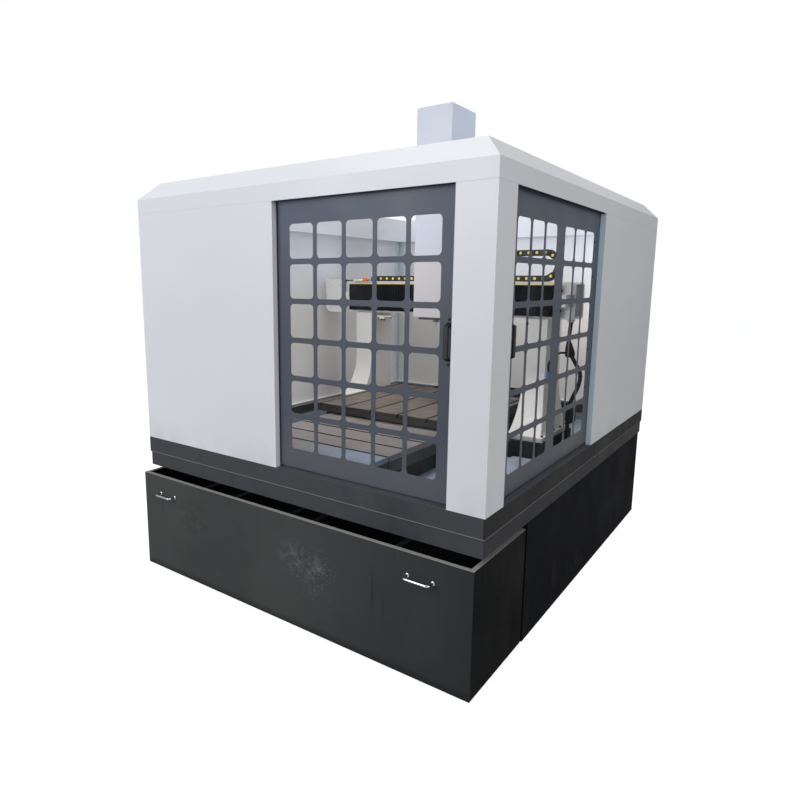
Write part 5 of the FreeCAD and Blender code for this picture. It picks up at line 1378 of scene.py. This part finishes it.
class MACHINE_OT_chain(bpy.types.Operator):
    """Lays the drag chain on the beam, with its coloured pin caps"""

    bl_idname = "machine.chain"
    bl_label = "Drag chain"

    def execute(self, context):
        settings = sizes("machine_chain")
        low, high = BOX["drag_chain_lower"]
        middle_y = float(low[1] + high[1]) / 2.0
        base = float(low[2]) + CHAIN_RISE
        turned = settings.turn - settings.moving + math.pi * settings.radius
        moving = int(turned / settings.pitch + 0.5) + 1
        total = int(round((turned + settings.turn - settings.fixed) / settings.pitch))
        for node, first, last, start, end in (
            ("drag_chain_upper", 0, moving, *UPPER_BLEND),
            ("drag_chain_lower", moving, total + 1, *LOWER_BLEND),
        ):
            number = np.arange(first, last)
            x, z, slope = chain_frame((number + 0.5) * settings.pitch, settings, base)
            places = np.stack((x, np.full_like(x, middle_y), z), -1)
            turns = self.turns(slope)
            links = []
            for odd in (0, 1):
                mine = number % 2 == odd
                shape = chain_link_shape(settings, wide=not odd)
                links.append(repeated(*shape, places[mine], turns[mine]))
            made = piece(node + "_links", *joined(*links), "chain_plastic", None, "chain_black", node)
            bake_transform(made)
            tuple(start)
            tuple(end)
            # The last link shows no caps.
            real = number < total
            caps = self.caps(settings, places[real], turns[real])
            made = piece(node + "_caps", *joined(*caps), "pip_yellow", None, "chain_black")
            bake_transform(made)
            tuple(start)
            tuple(end)
        self.anchor(settings, middle_y, base)
        return {"FINISHED"}

    def turns(self, slope):
        """Rotation about Y by a link's slope: X goes to (cos, 0, sin)."""
        turns = np.zeros((len(slope), 3, 3))
        turns[:, 0, 0] = turns[:, 2, 2] = np.cos(slope)
        turns[:, 1, 1] = 1.0
        turns[:, 2, 0] = np.sin(slope)
        turns[:, 0, 2] = -np.sin(slope)
        return turns

    def caps(self, settings, places, turns):
        """Round caps, chamfered like a coin, over the pins on both sides of the links."""
        pip = settings.pip
        cap = revolved(((pip, 0.0), (pip, 0.0006), (pip * 0.8, 0.0014), (pip * 0.3, 0.0016)), 14)
        for out in (-1.0, 1.0):
            offset = (0.0, out * (settings.width / 2.0 - 0.0006), 0.0)
            yield repeated(*cap, places + offset, turns @ towards((0.0, out, 0.0)))

    def anchor(self, settings, y, base):
        """The bracket that holds the first link on the carriage's arm: two cheeks on a foot."""
        x, thin = float(BOX["drag_chain_upper"][0][0]), 0.002
        z = base + settings.radius * 2.0
        half, reach = settings.width / 2.0 - 0.006, settings.height / 2.0 - 0.003
        blocks = [
            ((x, y + side - thin, z - reach), (settings.moving + 0.006, y + side + thin, z + reach))
            for side in (-half, half)
        ]
        blocks.append(((x, y - half, z - reach), (x + 0.022, y + half, z - reach + 2.0 * thin)))
        shapes = [rounded_block(*corners, 0.3, 16, 8) for corners in blocks]
        piece("chain_anchor", *joined(*shapes), "chain_plastic", "x_carriage", "chain_black")


class MACHINE_OT_drawer_pulls(bpy.types.Operator):
    """Bends the two bright bar pulls of the drawer"""

    bl_idname = "machine.drawer_pulls"
    bl_label = "Drawer pulls"

    def execute(self, context):
        rod, flange, bend = 0.005, 0.009, 0.014
        collar = revolved(
            ((flange, 0.0), (flange, 0.002), (flange * 0.85, 0.0034), (rod * 1.05, 0.004)), 24,
        )
        for side in ("left", "right"):
            node = "drawer_handle_" + side
            low, high = BOX[node]
            z, face = (low[2] + high[2]) / 2.0, high[1]
            x0, x1 = low[0] + flange, high[0] - flange
            bar = tube(self.path(x0, x1, face, low[1] + rod, z, bend), rod, 16, (0.0, 0.0, 1.0))
            feet = repeated(*collar, [(x0, face, z), (x1, face, z)], towards((0, -1, 0)))
            parts = joined(bar, feet)
            piece(node + "_bar", *parts, "bright_chrome", "drawer", "bright_chrome", node)
        return {"FINISHED"}

    def path(self, x0, x1, face, out, z, bend):
        """Straight out from a foot, a quarter circle, along, a quarter circle, straight back."""
        angle = np.linspace(0.0, 0.5 * math.pi, 10)
        c, s = bend * (1.0 - np.cos(angle)), bend * (1.0 - np.sin(angle))
        middle = np.stack((np.linspace(x0 + bend, x1 - bend, 8)[1:-1], np.full(6, out)), -1)
        first, second = np.stack((x0 + c, out + s), -1), np.stack((x1 - s, out + c), -1)
        flat = np.concatenate(([(x0, face)], first, middle, second, [(x1, face)]))
        return np.insert(flat, 2, z, axis=1)


class MACHINE_OT_tool(bpy.types.Operator):
    """Puts a two-flute end mill on the spindle"""

    bl_idname = "machine.tool"
    bl_label = "Spindle tool"

    def execute(self, context):
        """Radius r at angle a and height z: less by a depth times cos 2 (a - twist z), low down."""
        low, high = BOX["cutter"]
        cx, cy = (low[0] + high[0]) / 2.0, (low[1] + high[1]) / 2.0
        radius = float(high[0] - low[0]) / 2.0
        rings, sides, fluted, runout, twist, depth = 40, 24, 0.018, 0.004, 260.0, 0.42
        levels = np.linspace(low[2], high[2], rings)
        height, turn = np.meshgrid(levels, full_turn(sides), indexing="ij")
        flute = np.clip((low[2] + fluted - height) / runout, 0.0, 1.0)
        web = np.maximum(np.cos(2.0 * (turn - (height - low[2]) * twist)), 0.0)
        r = radius * (1.0 - depth * flute * web)
        points = np.stack((cx + r * np.cos(turn), cy + r * np.sin(turn), height), -1)
        faces = capped_faces(rings, sides)
        piece("end_mill", points, faces, "turned_steel", "spindle", "ground_steel", "cutter")
        return {"FINISHED"}


class MACHINE_OT_small_parts(bpy.types.Operator):
    """Screws the columns and the covers down, and plugs the cables in"""

    bl_idname = "machine.small_parts"
    bl_label = "Fasteners and connectors"

    def execute(self, context):
        self.column_bolts()
        self.motor_cover_screws()
        self.connectors()
        self.sensors()
        self.wipers()
        self.bellows_trims()
        return {"FINISHED"}

    def column_bolts(self):
        """A row of bolts along the outer edge of each column's foot plate."""
        for side, sign in (("left", -1.0), ("right", 1.0)):
            low, high = BOX["column_" + side]
            inset, margin, plate, count = 0.012, 0.03, 0.028, 5
            x = sign * (max(abs(low[0]), abs(high[0])) - inset)
            rows = np.linspace(low[1] + margin, high[1] - margin, count)
            places = [(x, y, low[2] + plate) for y in rows]
            screws(
                "column_bolts_" + side, 0.0085, 0.009, places, (0, 0, 1),
                "blackened_steel", "frame", "motor_black",
            )

    def motor_cover_screws(self):
        """Four screws near the corners of the motor cover's front."""
        low, high = BOX["x_motor_cover"]
        across, up = (low[0] + 0.045, high[0] - 0.012), (low[2] + 0.03, high[2] - 0.04)
        places = [(x, low[1], z) for x in across for z in up]
        screws(
            "motor_cover_screws", 0.005, 0.003, places, (0, -1, 0),
            "zinc_plate", "frame", "ground_steel",
        )

    def connectors(self):
        """Soft-edged connector bodies on the beam, each with a round gland."""
        y, top, deep = float(BOX["beam"][0][1]) + 0.012, float(BOX["beam"][1][2]), 0.03
        points, faces = revolved(((0.008, 0.0), (0.008, 0.012), (0.006, 0.016)), 12)
        points = points @ towards((1, 0, 0)).T
        # Each body's left end, length and height.
        for finish, bodies in (
            ("plug_white", ((-0.722, 0.030, 0.012), (-0.688, 0.030, 0.014))),
            ("plug_orange", ((-0.642, 0.036, 0.022),)),
            ("plug_blue", ((-0.572, 0.022, 0.030),)),
        ):
            blocks = [
                rounded_block((x, y, top), (x + length, y + deep, top + height), 0.25)
                for x, length, height in bodies
            ]
            glands = [
                (points + (x + length - 0.002, y + deep / 2.0, top + height * 0.5), faces)
                for x, length, height in bodies
            ]
            piece("beam_" + finish, *joined(*blocks, *glands), finish, "frame", "motor_black")

    def sensors(self):
        """A limit switch plate under the beam, its three screws below it."""
        low, _ = BOX["beam"]
        y, z = low[1] + 0.030, low[2]
        thick, deep = 0.010, 0.024
        plate = rounded_block((-0.515, y - 0.020, z - thick), (-0.395, y + 0.020, z), 0.2)
        body = rounded_block((-0.500, y - 0.014, z - deep), (-0.455, y + 0.014, z - thick), 0.25)
        piece("beam_switch_plate", *joined(plate, body), "plug_white", "frame", "motor_black")
        places = [(-0.490, y, z - deep), (-0.466, y, z - deep), (-0.415, y, z - thick)]
        screws(
            "beam_switch_screws", 0.0075, 0.010, places, (0, 0, -1),
            "blackened_steel", "frame", "motor_black",
        )

    def wipers(self):
        """Rubber lips along the front of each sliding cover, rounded in section."""
        for k in (2, 3, 4):
            node = "way_cover_%d" % k
            low, high = BOX[node]
            below = BOX["way_cover_%d" % (k - 1)][1][2]
            inset, reach, lap, rise, drop = 0.004, 0.009, 0.0005, 0.0003, 0.0002
            start = (low[0] + inset, low[1] - reach, below + rise)
            end = (high[0] - inset, low[1] + lap, high[2] - drop)
            lip = rounded_block(start, end, 0.12, 36, 8)
            piece("cover_wiper_%d" % k, *lip, "seal_rubber", BODY[node], "bellows_black")

    def bellows_trims(self):
        """Slim yellow edge strips over the beam's bellows."""
        for side in ("left", "right"):
            low, high = BOX["x_bellows_" + side]
            near, far, thick = 0.006, 0.012, 0.004
            start, end = (low[0], low[1] + near, high[2]), (high[0], low[1] + far, high[2] + thick)
            strip = rounded_block(start, end, 0.12, 36, 8)
            made = piece("bellows_trim_" + side, *strip, "pip_yellow", None, "bellows_black")
            stretch_along_beam(made, side)


class VIEW3D_PT_machine(bpy.types.Panel):
    """Lists the machining centre's operators and sizes"""

    bl_idname = "VIEW3D_PT_machine"
    bl_label = "Machining centre"
    bl_space_type = "VIEW_3D"
    bl_region_type = "UI"
    bl_category = "Machining centre"

    def draw(self, context):
        for kind in OPERATORS:
            self.layout.operator(kind.bl_idname)
        for group, kind in GROUPS.items():
            box = self.layout.box()
            box.label(text=kind.__doc__)
            for name in kind.__annotations__:
                box.prop(getattr(context.scene, group), name)


OPERATORS = (
    MACHINE_OT_finishes,
    MACHINE_OT_stage,
    MACHINE_OT_conduit,
    MACHINE_OT_eased_sheet,
    MACHINE_OT_leaves,
    MACHINE_OT_bellows,
    MACHINE_OT_chain,
    MACHINE_OT_drawer_pulls,
    MACHINE_OT_tool,
    MACHINE_OT_small_parts,
)
CLASSES = (*GROUPS.values(), *OPERATORS, VIEW3D_PT_machine)


def register():
    for kind in CLASSES:
        bpy.utils.register_class(kind)
    for group, kind in GROUPS.items():
        setattr(bpy.types.Scene, group, PointerProperty(type=kind))


def unregister():
    for group in GROUPS:
        delattr(bpy.types.Scene, group)
    for kind in reversed(CLASSES):
        bpy.utils.unregister_class(kind)


def main():
    register()
    for kind in OPERATORS:
        family, name = kind.bl_idname.split(".")
        if getattr(getattr(bpy.ops, family), name)() != {"FINISHED"}:
            raise RuntimeError(kind.bl_label + " did not finish")
    as_lists = [[list(map(float, corner)) for corner in box] for box in (CAD_BOX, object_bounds())]


if __name__ == "__main__":
    main()
